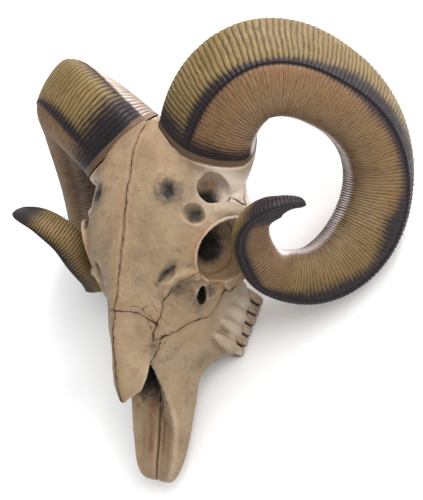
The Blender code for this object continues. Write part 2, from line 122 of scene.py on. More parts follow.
def fix_place(item, name):
    """Name a new object and put its place, turn and scale into its mesh."""
    pick(item)
    bpy.ops.object.transform_apply(location=True, rotation=True, scale=True)
    item.name = name
    item.data.name = name
    return item


def lookup(points):
    """A tree that finds the nearest of some points."""
    tree = kdtree.KDTree(len(points))
    for i, spot in enumerate(points):
        tree.insert(spot, i)
    tree.balance()
    return tree


def face_outwards():
    """Leave edit mode with every face turned outwards."""
    bpy.ops.mesh.select_all(action='SELECT')
    bpy.ops.mesh.normals_make_consistent(inside=False)
    bpy.ops.object.mode_set(mode='OBJECT')


def drawn_out(name, rings):
    """A disc of points extruded ring by ring, in millimetres, into one closed body."""
    rings = [[Vector(p) * MM for p in ring] for ring in rings]
    bpy.ops.object.select_all(action='DESELECT')
    bpy.ops.mesh.primitive_circle_add(vertices=len(rings[0]), radius=1, fill_type='NGON')
    item = bpy.context.object
    bpy.ops.object.mode_set(mode='EDIT')
    bm = bmesh.from_edit_mesh(item.data)
    bm.verts.ensure_lookup_table()
    for vert, spot in zip(bm.verts, rings[0]):
        vert.co = spot
    last = rings[0]
    for ring in rings[1:]:
        bpy.ops.mesh.extrude_region_move()
        bm = bmesh.from_edit_mesh(item.data)
        tree = lookup(last)
        for vert in [v for v in bm.verts if v.select]:
            vert.co = ring[tree.find(vert.co)[1]]
        last = ring
    bpy.ops.mesh.select_all(action='SELECT')
    bpy.ops.mesh.quads_convert_to_tris()
    face_outwards()
    item.name = name
    return item


TUBE_SIDES = 16


def tube(name, points, radii, steps=24):
    """A round bar along a smooth line, with a radius at each of its points."""
    line = [(i / (len(points) - 1), *p) for i, p in enumerate(points)]
    width = [(i / (len(radii) - 1), r) for i, r in enumerate(radii)]
    rings = []
    for step in range(steps + 1):
        share = step / steps
        here = Vector(smooth_at(line, share))
        ahead = Vector(smooth_at(line, min(share + 0.01, 1)))
        behind = Vector(smooth_at(line, max(share - 0.01, 0)))
        turn = (ahead - behind).to_track_quat('Z', 'Y').to_matrix()
        radius = smooth_at(width, share)[0]
        rings.append([here + turn @ Vector((radius * math.cos(a), radius * math.sin(a), 0))
                      for a in np.linspace(0, 2 * math.pi, TUBE_SIDES, endpoint=False)])
    return drawn_out(name, rings)


def ball(name, centre, radii, facing=None, segments=32):
    """An oval body about a centre; where it faces a direction, that is its first radius."""
    turn = Vector(facing).to_track_quat('X', 'Z').to_euler() if facing else (0, 0, 0)
    bpy.ops.object.select_all(action='DESELECT')
    bpy.ops.mesh.primitive_uv_sphere_add(segments=segments, ring_count=segments // 2, radius=MM,
                                         location=Vector(centre) * MM, rotation=turn, scale=radii)
    return fix_place(bpy.context.object, name)


def twin_of(item, name):
    """A copy of an object, with a mesh of its own."""
    pick(item)
    bpy.ops.object.duplicate()
    bpy.context.object.name = name
    return bpy.context.object


def mirror_twin(item):
    """The same object on the skull's other side."""
    name = item.name + '_far'
    twin = twin_of(item, name)
    twin.scale = (-1, 1, 1)
    fix_place(twin, name)
    bpy.ops.object.mode_set(mode='EDIT')
    face_outwards()
    return twin


def both_sides(item):
    return [item, mirror_twin(item)]


def join(items, name):
    pick(items[0])
    for item in items:
        item.select_set(True)
    bpy.ops.object.join()
    items[0].name = name
    return items[0]


def combine(item, other, operation):
    """Join, cut or keep an object's shape with another, which is then removed."""
    settle(item, 'BOOLEAN', operation=operation, object=other, solver='MANIFOLD')
    bpy.data.objects.remove(other, do_unlink=True)
    return item


def head_section(y):
    """Points round the head's cross-section at a distance from the snout tip."""
    roof = smooth_at(ROOF_LINE, y)[0]
    edge = smooth_at(ROOF_EDGE, y)
    side = smooth_at(WIDEST_SIDE, y)
    jaw = smooth_at(JAW_EDGE, y)
    palate = smooth_at(PALATE_LINE, y)[0]
    fall = smooth_at(ROOF_FALL, y)[0]
    right = [(0, roof), (edge[0] * ROOF_BEND, roof + (edge[1] - roof) * fall), tuple(edge),
             ((edge[0] + side[0]) / 2 + CHEEK_SWELL, (edge[1] + side[1]) / 2), tuple(side),
             ((side[0] + jaw[0]) / 2, (side[1] + jaw[1]) / 2), tuple(jaw), (jaw[0] * 0.5, palate)]
    left = [(-x, z) for x, z in reversed(right[1:])]
    outline = right + [(0, palate)] + left
    places = np.linspace(0, len(outline), SECTION_POINTS, endpoint=False)
    return [(x, y, z) for x, z in closed_curve(outline, places)]


# The nose roof: two plates that run out over the open nose passage to a blunt tip.
NOSE_EDGE = ((48, 3, 75), (54, 8, 75), (61, 12.5, 77.5), (75, 17, 80), (86, 17.5, 82), (99, 20.5, 89),
             (118, 25, 93))
NOSE_MIDLINE = ((48, 76), (54, 84), (66, 93), (80, 101), (93, 107), (111, 112.5), (118, 114))
NOSE_THICK = 4.0
NOSE_GABLE = 1.35
NOSE_UNDERSIDE = 0.86           # width of its underside against its top
NOSE_RINGS = 26
NOSE_COLUMNS = 13


def nose_roof():
    rings = []
    for y in np.linspace(NOSE_EDGE[0][0], NOSE_EDGE[-1][0], NOSE_RINGS):
        half, low = smooth_at(NOSE_EDGE, y)
        high = smooth_at(NOSE_MIDLINE, y)[0]
        top = [(half * t, low + (high - low) * (1 - abs(t)**NOSE_GABLE))
               for t in np.linspace(-1, 1, NOSE_COLUMNS)]
        under = [(x * NOSE_UNDERSIDE, z - NOSE_THICK) for x, z in reversed(top)]
        rings.append([(x, y, z) for x, z in top + under])
    return drawn_out('nose', rings)


# The eye socket, and the raised rim round it.
ORBIT_CENTRE = (67, 171, 85)
ORBIT_FACING = (0.80, -0.50, 0.34)
ORBIT_RADIUS = 22
ORBIT_STRETCH = 1.16            # its length along the skull against its height
ORBIT_DEPTH = 34
ORBIT_RIM = 2.3
RIM_STEPS = (72, 16)            # faces round the rim, and round its own thickness


def socket_rim():
    turn = Vector(ORBIT_FACING).to_track_quat('Z', 'Y').to_euler()
    bpy.ops.object.select_all(action='DESELECT')
    bpy.ops.mesh.primitive_torus_add(location=Vector(ORBIT_CENTRE) * MM, rotation=turn,
                                     major_segments=RIM_STEPS[0], minor_segments=RIM_STEPS[1],
                                     major_radius=ORBIT_RADIUS * MM, minor_radius=ORBIT_RIM * MM)
    bpy.context.object.scale = (ORBIT_STRETCH, 1, 1)
    return fix_place(bpy.context.object, 'rim')


# The horns' spiral is needed here too, because the brow carries a core as wide as each horn's base.
HORN_CENTRE = (60.8, 231.7, 55.0)
HORN_AXIS = Vector((-0.666, 0.606, -0.435)).normalized()
HORN_START = Vector((-0.322, 0.293, 0.900))
HORN_TURN = math.radians(414)
HORN_RADII = (63.9, 101.8, 101.4, 95.5, 80.7, 64.6, 48.3, 33.5, 28.2, 27.8, 28.2, 28.5)
HORN_DRIFT = (-0.8, -19.7, -26.2, -35.2, -49.2, -58.5, -58.9, -66.9, -73.6, -85.0, -98.2, -101.6)
FRONT_KEEL = ((27.8, -56), (28.0, -79), (28.5, -74), (27.9, -68), (22.0, -70), (17.6, -67), (13.8, -64),
              (10.4, -63), (7.0, -62))
CROWN_KEEL = ((40.3, 39), (36.5, 26), (28.3, 21), (21.8, 16), (13.9, 12), (9.8, 7), (9.3, 3), (8.0, 2),
              (6.5, 2))
INNER_KEEL = ((48.6, 221), (43.6, 211), (37.2, 205), (37.4, 189), (32.6, 188), (26.4, 187), (24.2, 166),
              (22.3, 143), (17.0, 120))
# How far each face swells between its keels, at the foot and at the tip, as a share of its width.
FRONT_SWELL = (0.074, 0.074)
MIDDLE_SWELL = (0.717, 0.328)
SIDE_SWELL = (0.144, 0.144)
HORN_CORNER = 0.30


def evenly(values, share):
    """Read a smooth line through values that stand at equal steps from 0 to 1."""
    knots = [(i / (len(values) - 1), *np.atleast_1d(value)) for i, value in enumerate(values)]
    return smooth_at(knots, share)


def horn_frame(share):
    """Centre of the horn's section and its three directions, at a share of its turn."""
    start = (HORN_START - HORN_START.project(HORN_AXIS)).normalized()
    side = HORN_AXIS.cross(start)

    def centre(at):
        angle = HORN_TURN * at
        out = start * math.cos(angle) + side * math.sin(angle)
        return Vector(HORN_CENTRE) + out * evenly(HORN_RADII, at)[0] + HORN_AXIS * evenly(HORN_DRIFT, at)[0]

    along = (centre(min(share + AHEAD, 1)) - centre(max(share - AHEAD, 0))).normalized()
    across = (HORN_AXIS - HORN_AXIS.project(along)).normalized()
    return centre(share), along, along.cross(across), across


FACE_STEPS = 8                  # points that a face of the horn's section is drawn with
CORNER_ROUNDS = 3               # times that its corners are rounded off
AHEAD = 0.004                   # share of the turn over which the horn's direction is read


def horn_section(share, places, grow=0.0):
    """Points round the horn's rounded three-sided section, in its own plane.

    The places run from 0 at the front keel over FACE_STEPS at the crown keel and twice that at the
    inner keel, back to the front."""
    corners = []
    for keel in (FRONT_KEEL, CROWN_KEEL, INNER_KEEL):
        reach, angle = evenly(keel, share)
        angle = math.radians(angle)
        corners.append(np.array((reach * math.cos(angle), reach * math.sin(angle))))
    middle = sum(corners) / 3
    outline = []
    for i, (foot, tip) in enumerate((FRONT_SWELL, MIDDLE_SWELL, SIDE_SWELL)):
        bulge = foot + (tip - foot) * share
        here, there = corners[i], corners[(i + 1) % 3]
        face = there - here
        normal = np.array((face[1], -face[0]))
        if normal.dot((here + there) / 2 - middle) < 0:
            normal = -normal
        for t in np.linspace(0, 1, FACE_STEPS, endpoint=False):
            outline.append(here + face * t + normal * bulge * 4 * t * (1 - t))
    outline = np.array(outline)
    for _ in range(CORNER_ROUNDS):
        outline = (outline * (1 - HORN_CORNER)
                   + (np.roll(outline, 1, 0) + np.roll(outline, -1, 0)) * HORN_CORNER / 2)
    points = np.array(closed_curve(outline, places))
    out = points - middle
    return points + out / np.linalg.norm(out, axis=1)[:, None] * grow


RING_POINTS = 48
EVENLY_ROUND = np.linspace(0, 3 * FACE_STEPS, RING_POINTS, endpoint=False)


def horn_ring(share, places=EVENLY_ROUND, grow=0.0, back=0.0, size=1.0):
    centre, along, outward, across = horn_frame(share)
    return [centre + along * back + (outward * p[0] + across * p[1]) * size
            for p in horn_section(share, places, grow)]


CORE_RINGS = ((-1.0, 1.0), (-10, 1.0), (-24, 0.96), (-44, 0.7))     # how far back, and its size there
ROOM = 0.35                     # space left round the horn
ROOM_SHARES = np.linspace(0.01, 0.30, 14)


def horn_core():
    """The bony core on the brow that the horn sits on."""
    return drawn_out('core', [horn_ring(0, back=back, size=size) for back, size in CORE_RINGS])


def horn_room():
    """The space that a horn takes of the brow, with a hair's breadth all round."""
    rings = [horn_ring(0, grow=ROOM, back=-ROOM)]
    rings += [horn_ring(share, grow=ROOM) for share in ROOM_SHARES]
    return drawn_out('room', rings)


HEAD_STATIONS = [*np.linspace(1.8, 20, 8), *np.arange(24, 288, SECTION_STEP), 290]
# Cheek arch, temple, bar and wall behind the socket, knuckles of the neck joint, ear bulges, the two
# spurs beside them, and the ridge from the socket's front edge down over the tear pit.  A bar is given
# by the points of its line and a bulge by its centre, and then its radii.
ADDED_SHAPES = (
    ('arch', [(56, 150, 64), (67, 166, 60), (71, 190, 62), (58, 218, 66), (46, 242, 70)], (7, 6.5, 6, 6, 8)),
    ('temple_wall', (47, 223, 76), (16, 29, 15)),
    ('socket_bar', [(58, 196, 100), (69, 200, 92), (73, 200, 78), (70, 194, 64)], (8, 6, 5.5, 6)),
    ('socket_wall', (58, 201, 74), (10, 9, 12)),
    ('knuckle', (12, 287, 68), (9, 9, 12)),
    ('ear_bulge', (22, 250, 52), (9, 14, 10)),
    ('spur', [(28, 268, 70), (29, 272, 56), (27, 270, 42)], (8, 6, 3.5)),
    ('brow_ridge', [(53, 149, 91), (42, 146.5, 98.5), (35, 140, 99.5), (28, 129, 96)],
     (4.2, 4.4, 3.8, 2.2)),
)
# Swellings over the roots of the cheek teeth, fuller at the edge that the teeth stand in.  Each point
# of their line has its x at the first tooth, how far it leans out by the last, its shift and its z.
ROOT_PLACES = (114, 127, 139, 151)
ROOT_ROW = 44
ROOT_LINE = ((39.5, 4.5, -1, 15), (44.3, 5, 0, 25), (44.5, 6, 2, 46))
ROOT_RADII = (6.4, 6.2, 3.0)
FIRST_SMOOTHING = 9
FINE_SMOOTHING = 4
skull_parts = [drawn_out('head', [head_section(y) for y in HEAD_STATIONS]), nose_roof()]
skull_parts += both_sides(horn_core())
skull_parts += both_sides(socket_rim())
for name, place, radii in ADDED_SHAPES:
    shape = tube if isinstance(place, list) else ball
    skull_parts += both_sides(shape(name, place, radii))
for root_y in ROOT_PLACES:
    share = (root_y - ROOT_PLACES[0]) / ROOT_ROW
    root_line = [(x + lean * share, root_y + shift, z) for x, lean, shift, z in ROOT_LINE]
    skull_parts += both_sides(tube('root', root_line, ROOT_RADII, steps=10))
skull = join(skull_parts, 'skull')
settle(skull, 'REMESH', mode='VOXEL', voxel_size=FIRST_VOXEL * MM)
settle(skull, 'SMOOTH', factor=0.5, iterations=FIRST_SMOOTHING)

# ---- Hollows of the skull ------------------------------------------------------------------------
# Eye sockets, temple windows, pits of the brow and face, the open nose passage, palate and the hole
# for the spine.  In the casting they are all part of the mould.
# Distance along the skull, half width, floor and top of the nose passage.
PASSAGE_RINGS = ((-4, 2.5, 25, 50), (15, 6, 26, 60), (32, 12, 28, 70), (50, 14, 34, 80),
                 (68, 15, 38, 78), (86, 14, 40, 84), (110, 12, 44, 84), (135, 8, 50, 78))
PASSAGE_FOOT = 2.5              # half width of its floor
PASSAGE_SHOULDER = 34           # height over its floor at which it is widest
SLOT_CENTRE = Vector((0, 24, 30))
SLOT_SIZE = (2.2, 68, 60)
SOCKET_OUT = 4                  # how far the socket's centre lies outside its rim's
# Each hollow's centre and radii, and the way that its first radius points where it is turned.
PAIRED_HOLLOWS = (
    ('temple', (58, 211, 104), (10.5, 12, 16)),
    ('brow_pit', (39, 199, 139.5), (17, 13, 15), (0.5, -0.8, 0)),
    ('low_brow_pit', (55, 188, 119.5), (9.5, 9.5, 13.5)),
    ('tear_pit', (35, 143.5, 109.5), (14, 5.5, 7.5), (0.6, 0.78, 0.05)),
    ('cheek_hollow', (46.5, 127, 92), (14, 17, 14)),
    ('cheek_slot', (42.8, 140.5, 76.3), (9.8, 9, 3.9), (0.15, 0.82, 0.55)),
    ('cheek_dip', (60.5, 140.5, 75.5), (11, 11, 11)),
)
MIDDLE_HOLLOWS = (
    ('throat', (0, 196, 26), (15, 40, 18)),
    ('palate_hollow', (0, 140, 6), (30, 42, 14)),
    ('spine_hole', (0, 296, 86), (9, 24, 9)),
)
# Size and height of the broad, shallow unevenness of real bone, and of the finer grain over it.
BONE_GRAIN = ((14, 0.9), (4, 0.35))


def nose_passage():
    """The open nose passage between the jaw tips and under the nose roof."""
    rings = []
    for y, half, floor, top in PASSAGE_RINGS:
        shoulder = min(top, floor + PASSAGE_SHOULDER)
        low = [(-PASSAGE_FOOT, y, floor), (PASSAGE_FOOT, y, floor)]
        mid = [(half * 0.8, y, floor + 8), (half, y, shoulder), (half * 0.7, y, top)]
        rings.append(low + mid + [(-x, yy, z) for x, yy, z in reversed(mid)])
    return drawn_out('passage', rings)


def tip_slot():
    bpy.ops.object.select_all(action='DESELECT')
    bpy.ops.mesh.primitive_cube_add(size=MM, location=SLOT_CENTRE * MM, scale=SLOT_SIZE)
    return fix_place(bpy.context.object, 'slot')


socket = Vector(ORBIT_CENTRE) + Vector(ORBIT_FACING).normalized() * SOCKET_OUT
socket_radii = (ORBIT_DEPTH, ORBIT_RADIUS * ORBIT_STRETCH, ORBIT_RADIUS)
hollows = both_sides(ball('socket', socket, socket_radii, ORBIT_FACING, segments=64))
for hollow in PAIRED_HOLLOWS:
    hollows += both_sides(ball(*hollow))
hollows += [nose_passage(), tip_slot()]
hollows += [ball(*hollow) for hollow in MIDDLE_HOLLOWS]
for hollow in hollows:
    combine(skull, hollow, 'DIFFERENCE')
settle(skull, 'REMESH', mode='VOXEL', voxel_size=FINE_VOXEL * MM)
settle(skull, 'SMOOTH', factor=0.5, iterations=FINE_SMOOTHING)
for size, strength in BONE_GRAIN:
    grain = bpy.data.textures.new('bone grain', 'CLOUDS')
    grain.noise_scale = size * MM
    grain.noise_depth = 2
    settle(skull, 'DISPLACE', texture=grain, strength=strength * MM, mid_level=0.5, texture_coords='LOCAL')
for room in both_sides(horn_room()):
    combine(skull, room, 'DIFFERENCE')

# ---- The skull's bones ---------------------------------------------------------------------------
# The bones meet at fine, jagged seams.  Each is one piece here: the seams are cut as thin gaps along
# wandering lines, seen from above as (x, y) or from the side as (y, z).
SEAM_GAP = 0.4
SEAM_STEP = 1.7
SEAM_SWING = 0.75
SEAM_WAVES = ((3.1, 1.3, 0), (9.0, 1.6, 7))     # length, height and seed of the waves a seam swings in
NOSE_PLAN = [(-1, 30), (30, 30), (30, 60), (24, 86), (22.5, 94), (25, 99), (28, 105), (25, 110),
             (16, 113), (8, 114.5), (-1, 112)]
NOSE_SIDE = [(40, 55), (55, 61), (70, 68), (84, 77), (99, 82), (118, 90), (118, 140), (30, 140)]
CHEEK_SIDE = [(99, 87), (104, 90), (115, 91.5), (125, 93.5), (131, 95.5), (137, 98), (146, 97), (158, 84),
              (214, 84), (214, 50), (168, 50), (156, 55), (150, 63), (141, 60), (132, 59), (126, 62),
              (121, 69), (110, 76), (104, 82)]
CHEEK_PLAN = [(20, 90), (22, 106), (25, 118), (29, 130), (36, 140), (46, 150), (56, 166), (58, 214),
              (110, 214), (110, 90)]
JAW_SIDE = [(-20, 30), (40, 55), (55, 61), (70, 68), (84, 77), (97, 83), (104, 82), (110, 76), (121, 69),
            (126, 62), (132, 59), (141, 60), (150, 61), (158, 50), (172, 36), (172, -30), (-20, -30)]
BRAIN_SIDE = [(178, 62), (178, 15), (310, 15), (310, 150), (272, 150), (266, 120), (254, 84),
              (228, 72), (202, 66)]
LEFT_HALF = [(0, -50), (0, 350), (120, 350), (120, -50)]
FAR = 120
FACE_LEVELS = (0, 160)          # heights between which the seams seen from above are cut
SKULL_LEVELS = (-60, 200)
SIDE_SEEDS = {1: 11.3, -1: 47.9}
BRAIN_SEED = 3.0
MIDDLE_SEED = 5.5


def wandering(outline, seed):
    """The outline in short steps, each pushed a little to one side or the other."""
    path = []
    for here, there in zip(outline, outline[1:] + outline[:1]):
        here, there = Vector(here), Vector(there)
        count = max(1, round((there - here).length / SEAM_STEP))
        across = Vector((there.y - here.y, here.x - there.x)).normalized()
        for k in range(count):
            spot = here.lerp(there, k / count)
            swing = sum(height * noise.noise(Vector((spot.x / length, spot.y / length, seed + shift)))
                        for length, height, shift in SEAM_WAVES)
            path.append(spot + across * swing * SEAM_SWING)
    return path


def prism(outline, low, high, axis, seed, grow=0.0):
    """A straight body over a wandering outline: axis 2 gives (x, y) points, axis 0 gives (y, z) points."""
    area = sum(a[0] * b[1] - b[0] * a[1] for a, b in zip(outline, outline[1:] + outline[:1]))
    path = wandering(outline, seed)
    edge = []
    for i, here in enumerate(path):
        ahead = path[(i + 1) % len(path)] - path[i - 1]
        normal = Vector((ahead.y, -ahead.x)).normalized() * (1 if area > 0 else -1)
        edge.append(here + normal * grow)
    rings = [[(level, q.x, q.y) if axis == 0 else (q.x, q.y, level) for q in edge]
             for level in (low - grow, high + grow)]
    return drawn_out('prism', rings)


def region(kind, side, grow=0.0):
    """The space that one bone takes of the whole skull, on the side +1 or -1."""
    seed = SIDE_SEEDS[side]
    if kind == 'upper_jaw':
        return prism(JAW_SIDE, -FAR, FAR, 0, seed, grow)
    outline, plan, span = {
        'nasal': (NOSE_SIDE, NOSE_PLAN, (-FAR, FAR)),
        'zygomatic': (CHEEK_SIDE, CHEEK_PLAN, (0, FAR) if side > 0 else (-FAR, 0)),
    }[kind]
    from_side = prism(outline, *span, 0, seed, grow)
    from_above = prism([(x * side, y) for x, y in plan], *FACE_LEVELS, 2, seed, grow)
    return combine(from_side, from_above, 'INTERSECT')


brain_region = (BRAIN_SIDE, -FAR, FAR, 0, BRAIN_SEED)
left_region = (LEFT_HALF, *SKULL_LEVELS, 2, MIDDLE_SEED)
bones = {'braincase': combine(twin_of(skull, 'braincase_piece'), prism(*brain_region), 'INTERSECT')}
face = combine(skull, prism(*brain_region, SEAM_GAP), 'DIFFERENCE')
face_left = combine(twin_of(face, 'face_left'), prism(*left_region), 'INTERSECT')
face_right = combine(face, prism(*left_region, SEAM_GAP), 'DIFFERENCE')
for half, side, hand in ((face_left, 1, 'left'), (face_right, -1, 'right')):
    for kind in ('zygomatic', 'nasal', 'upper_jaw'):
        name = f'{kind}_{hand}'
        bones[name] = combine(twin_of(half, name + '_piece'), region(kind, side), 'INTERSECT')
        half = combine(half, region(kind, side, SEAM_GAP), 'DIFFERENCE')
    half.name = f'frontal_{hand}_piece'
    bones[f'frontal_{hand}'] = half


def drop_crumbs(item):
    """Remove the loose crumbs that a cut leaves beside the piece itself."""
    bm = bmesh.new()
    bm.from_mesh(item.data)
    seen, groups = set(), []
    for vert in bm.verts:
        if vert in seen:
            continue
        group, queue = [], [vert]
        seen.add(vert)
        while queue:
            here = queue.pop()
            group.append(here)
            for edge in here.link_edges:
                other = edge.other_vert(here)
                if other not in seen:
                    seen.add(other)
                    queue.append(other)
        groups.append(group)
    groups.sort(key=len, reverse=True)
    for group in groups[1:]:
        bmesh.ops.delete(bm, geom=group, context='VERTS')
    bm.to_mesh(item.data)
    bm.free()


for bone in bones.values():
    drop_crumbs(bone)


# ---- Paint on the bones --------------------------------------------------------------------------
# The casting is painted in a warm bone colour, washed darker along its seams, warmer on its edges,
# and sprayed soft black into the sockets and pits; painted shade darkens its hollows, holes and nose
# passage, and painted highlights lighten its rims and the temple wall.  Each bone's vertices carry how much
# of each of these they take.
# Black sprayed into the sockets and dimples, and painted shade in the holes beside the sockets and in the
# hollow under the brow ridge.
SOOT_AND_SHADE_SPOTS = (                            # centre, spread along X Y Z, strength; both sides alike
    ((35, 200.5, 126), (8.5, 8, 9), 0.76),
    ((50.5, 188, 109), (4.6, 4.4, 6), 0.70),
    ((50, 206, 99), (4, 5.5, 7), 1.15),
    ((41, 177, 76), (6, 7.5, 9), 1.8),
    ((43.5, 140, 74), (3.5, 7, 5), 1.15),
    ((52, 142, 71), (5, 5, 5), 0.34),
    ((37, 138, 92), (6, 5, 4), 0.50),
    ((20, 96, 84), (3, 6, 4), 0.50),
)
WARM_SPOTS = (
    ((58, 158, 104), (7, 12, 5), 0.55),
    ((62, 180, 107), (6, 14, 4), 0.35),
    ((58, 149, 76), (5, 6, 8), 0.6),
    ((52, 216, 98), (8, 6, 9), 0.9),
    ((50, 172, 70), (9, 12, 10), 0.7),
    ((30, 218, 130), (14, 10, 10), 0.25),
    ((10, 60, 88), (10, 12, 8), 0.15),
)
RUST_SPOTS = (
    ((6.5, 36, 31), (1.7, 14, 9), 0.95),
    ((12, 30, 31), (1.3, 12, 9), 0.55),
    ((5, 60, 40), (3.0, 9, 8), 0.6),
)
# A pale patch over the jaw's tooth roots, and a painted highlight on the temple wall behind the socket.
PALE_AND_HIGHLIGHT_SPOTS = (
    ((50, 146, 28), (8, 20, 11), 0.40),
    ((62, 222, 84), (7.5, 15, 19), 1.6),
)
PITTED_SPOTS = (
    ((24, 106, 86), (8, 9, 9), 1.0),
    ((22, 120, 100), (8, 8, 6), 0.7),
    ((24, 92, 76), (5, 10, 8), 0.6),
)
# Painted shade, soft and dark, along the tear pit's upper edge.
TEAR_PIT_SHADE_LINE = ((26, 137, 104), (29, 142, 104.5), (34, 147.5, 104.5), (38, 150, 105))
# Hairline cracks beside the seams, as (x, y, z) along each.
CRACKS = (
    ((8, 117, 110), (13, 119, 107), (17.5, 118, 102.5), (20, 110, 96), (21.5, 103, 90)),
    ((19, 117, 101), (22, 113, 95), (24, 108, 89)),
    ((17.5, 119, 103), (22, 122, 99), (26, 121, 96), (27, 127, 96)),
    ((24, 105, 84), (27, 108, 80), (31, 110, 78), (34, 115, 75)),
    ((25, 101, 79), (23, 92, 74), (22, 84, 67)),
    ((26, 106, 82), (27, 112, 84), (30, 114, 84)),
    ((31, 128, 94), (28, 134, 100), (30, 141, 103)),
)


def ramp(values, start, length):
    """Rise from 0 where the values reach the start to 1 a length further on."""
    return np.clip((values - start) / length, 0, 1)


def fade(distance, width, power=2):
    """Fall softly from 1 at no distance, to a third at the width."""
    return np.exp(-(distance / width) ** power)


def one_side(points):
    """The points with the right half of the skull folded over onto the left."""
    near = points.copy()
    near[:, 0] = np.abs(near[:, 0])
    return near


def spread(points, spots):
    """How strongly a list of soft spots reaches each point."""
    total = np.zeros(len(points))
    near = one_side(points)
    for centre, size, strength in spots:
        away = ((near - np.array(centre)) / np.array(size)) ** 2
        total += strength * np.exp(-0.5 * away.sum(axis=1))
    return total


def reach_to_line(points, line):
    """Distance of each point from a line of straight stretches."""
    near = one_side(points)
    best = np.full(len(points), np.inf)
    for a, b in zip(line, line[1:]):
        a, b = np.array(a, float), np.array(b, float)
        t = np.clip((near - a) @ (b - a) / ((b - a) @ (b - a)), 0, 1)
        best = np.minimum(best, np.linalg.norm(near - a - t[:, None] * (b - a), axis=1))
    return best


def vertex_table(item):
    """Vertex places in millimetres, their normals and the ends of every edge, as arrays."""
    mesh = item.data
    points = np.empty(len(mesh.vertices) * 3)
    mesh.vertices.foreach_get('co', points)
    normals = np.empty(len(mesh.vertices) * 3)
    mesh.vertices.foreach_get('normal', normals)
    edges = np.empty(len(mesh.edges) * 2, int)
    mesh.edges.foreach_get('vertices', edges)
    return points.reshape(-1, 3) / MM, normals.reshape(-1, 3), edges.reshape(-1, 2)


def hollowness(points, normals, edges, rounds):
    """How far each vertex lies below (+) or above (-) its smoothed surroundings, in millimetres."""
    ends = np.concatenate([edges[:, 0], edges[:, 1]])
    others = np.concatenate([edges[:, 1], edges[:, 0]])
    count = np.maximum(np.bincount(ends, minlength=len(points)), 1)
    soft = points.copy()
    for _ in range(rounds):
        soft = np.stack([np.bincount(ends, weights=soft[others, k], minlength=len(points)) / count
                         for k in range(3)], axis=1)
    return ((soft - points) * normals).sum(axis=1)


def set_number(item, name, values):
    layer = item.data.attributes.new(name, 'FLOAT', 'POINT')
    layer.data.foreach_set('value', np.ascontiguousarray(values, np.float32))


def set_masks(item, masks):
    """Store shares from 0 to 1 on an object's vertices, each under its name."""
    for name, values in masks.items():
        set_number(item, name, np.clip(values, 0, 1))


def seam_reach(tables):
    """For each bone, how far its vertices are from the nearest other bone near it."""
    reach = {}
    for name, (points, _, _) in tables.items():
        low, high = points.min(axis=0) - 5, points.max(axis=0) + 5
        others = np.concatenate([p for other, (p, _, _) in tables.items() if other != name])
        tree = lookup(others[((others > low) & (others < high)).all(axis=1)])
        reach[name] = np.array([tree.find(spot)[2] for spot in points])
    return reach


FINE_ROUNDS = 12                # smoothing that leaves out pores and edges, and whole hollows
BROAD_ROUNDS = 90
PASSAGE_WALLS = (19, 46, 150)   # half width of the nose passage's dark walls, and where they run from, to


def passage_shade(points, normals):
    """The walls of the nose passage are darker the further in they lie."""
    half_width, from_y, to_y = PASSAGE_WALLS
    x, y, z = points.T
    inside = (normals[:, 0] * np.sign(x) < 0.15) & (np.abs(x) < half_width) & (y > from_y) & (y < to_y)
    inside &= (z > 27) & ((z < 72) | ((z < 96) & (normals[:, 2] < 0)))
    return np.where(inside, ramp(y, 52, 26), 0)


def paint_bone(item, table, reach):
    points, normals, edges = table
    fine = hollowness(points, normals, edges, FINE_ROUNDS)
    broad = hollowness(points, normals, edges, BROAD_ROUNDS)
    # Sprayed soot in the sockets and dimples, with painted shade in the holes and hollows, along the tear
    # pit's edge and deep in the nose passage.
    soot_and_shade = spread(points, SOOT_AND_SHADE_SPOTS) + 0.12 * ramp(broad, 0, 1.6) + 0.12 * ramp(fine, 0, 0.25)
    soot_and_shade += 0.62 * fade(reach_to_line(points, TEAR_PIT_SHADE_LINE), 2.6)
    soot_and_shade += passage_shade(points, normals)
    crack = np.min([reach_to_line(points, line) for line in CRACKS], axis=0)
    # The seams are filled with paint inside the eye sockets.
    from_socket = np.linalg.norm((points - np.array(ORBIT_CENTRE)) * (1, 0.9, 1), axis=1)
    set_masks(item, {
        'soot_and_shade': soot_and_shade,
        'warm': spread(points, WARM_SPOTS) + 0.22 * ramp(-broad, 0, 2.0),
        'rust': spread(points, RUST_SPOTS),
        'pale': spread(points, PALE_AND_HIGHLIGHT_SPOTS),
        'seam': (1.2 - reach / 1.15) * np.maximum(ramp(from_socket, 20, 8), 0.15),
        'rim_highlight': ramp(-fine, 0.14, 0.45) * ramp(reach, 2.5, 1.5),
        'seam_wash': fade(reach, 3.0),
        'crack': 1.3 - crack / 0.75,
        'pitted': spread(points, PITTED_SPOTS),
    })


tables = {name: vertex_table(bone) for name, bone in bones.items()}
seams = seam_reach(tables)
for name, bone in bones.items():
    paint_bone(bone, tables[name], seams[name])


def node(tree, kind, inputs=None, **settings):
    """Add one node, set its settings, and set or link its inputs."""
    new = tree.nodes.new(kind)
    for key, value in settings.items():
        setattr(new, key, value)
    for key, value in (inputs or {}).items():
        if isinstance(value, bpy.types.NodeSocket):
            tree.links.new(value, new.inputs[key])
        else:
            new.inputs[key].default_value = value
    return new


def sums(operation, a, b=0.5):
    """One step of arithmetic on a number in a node tree."""
    return node(a.id_data, 'ShaderNodeMath', {0: a, 1: b}, operation=operation).outputs[0]


def chain(operation, values):
    """The same step of arithmetic taken through several numbers."""
    total = values[0]
    for value in values[1:]:
        total = sums(operation, total, value)
    return total


def times(*values):
    return chain('MULTIPLY', values)


def plus(*values):
    return chain('ADD', values)


def larger(*values):
    return chain('MAXIMUM', values)


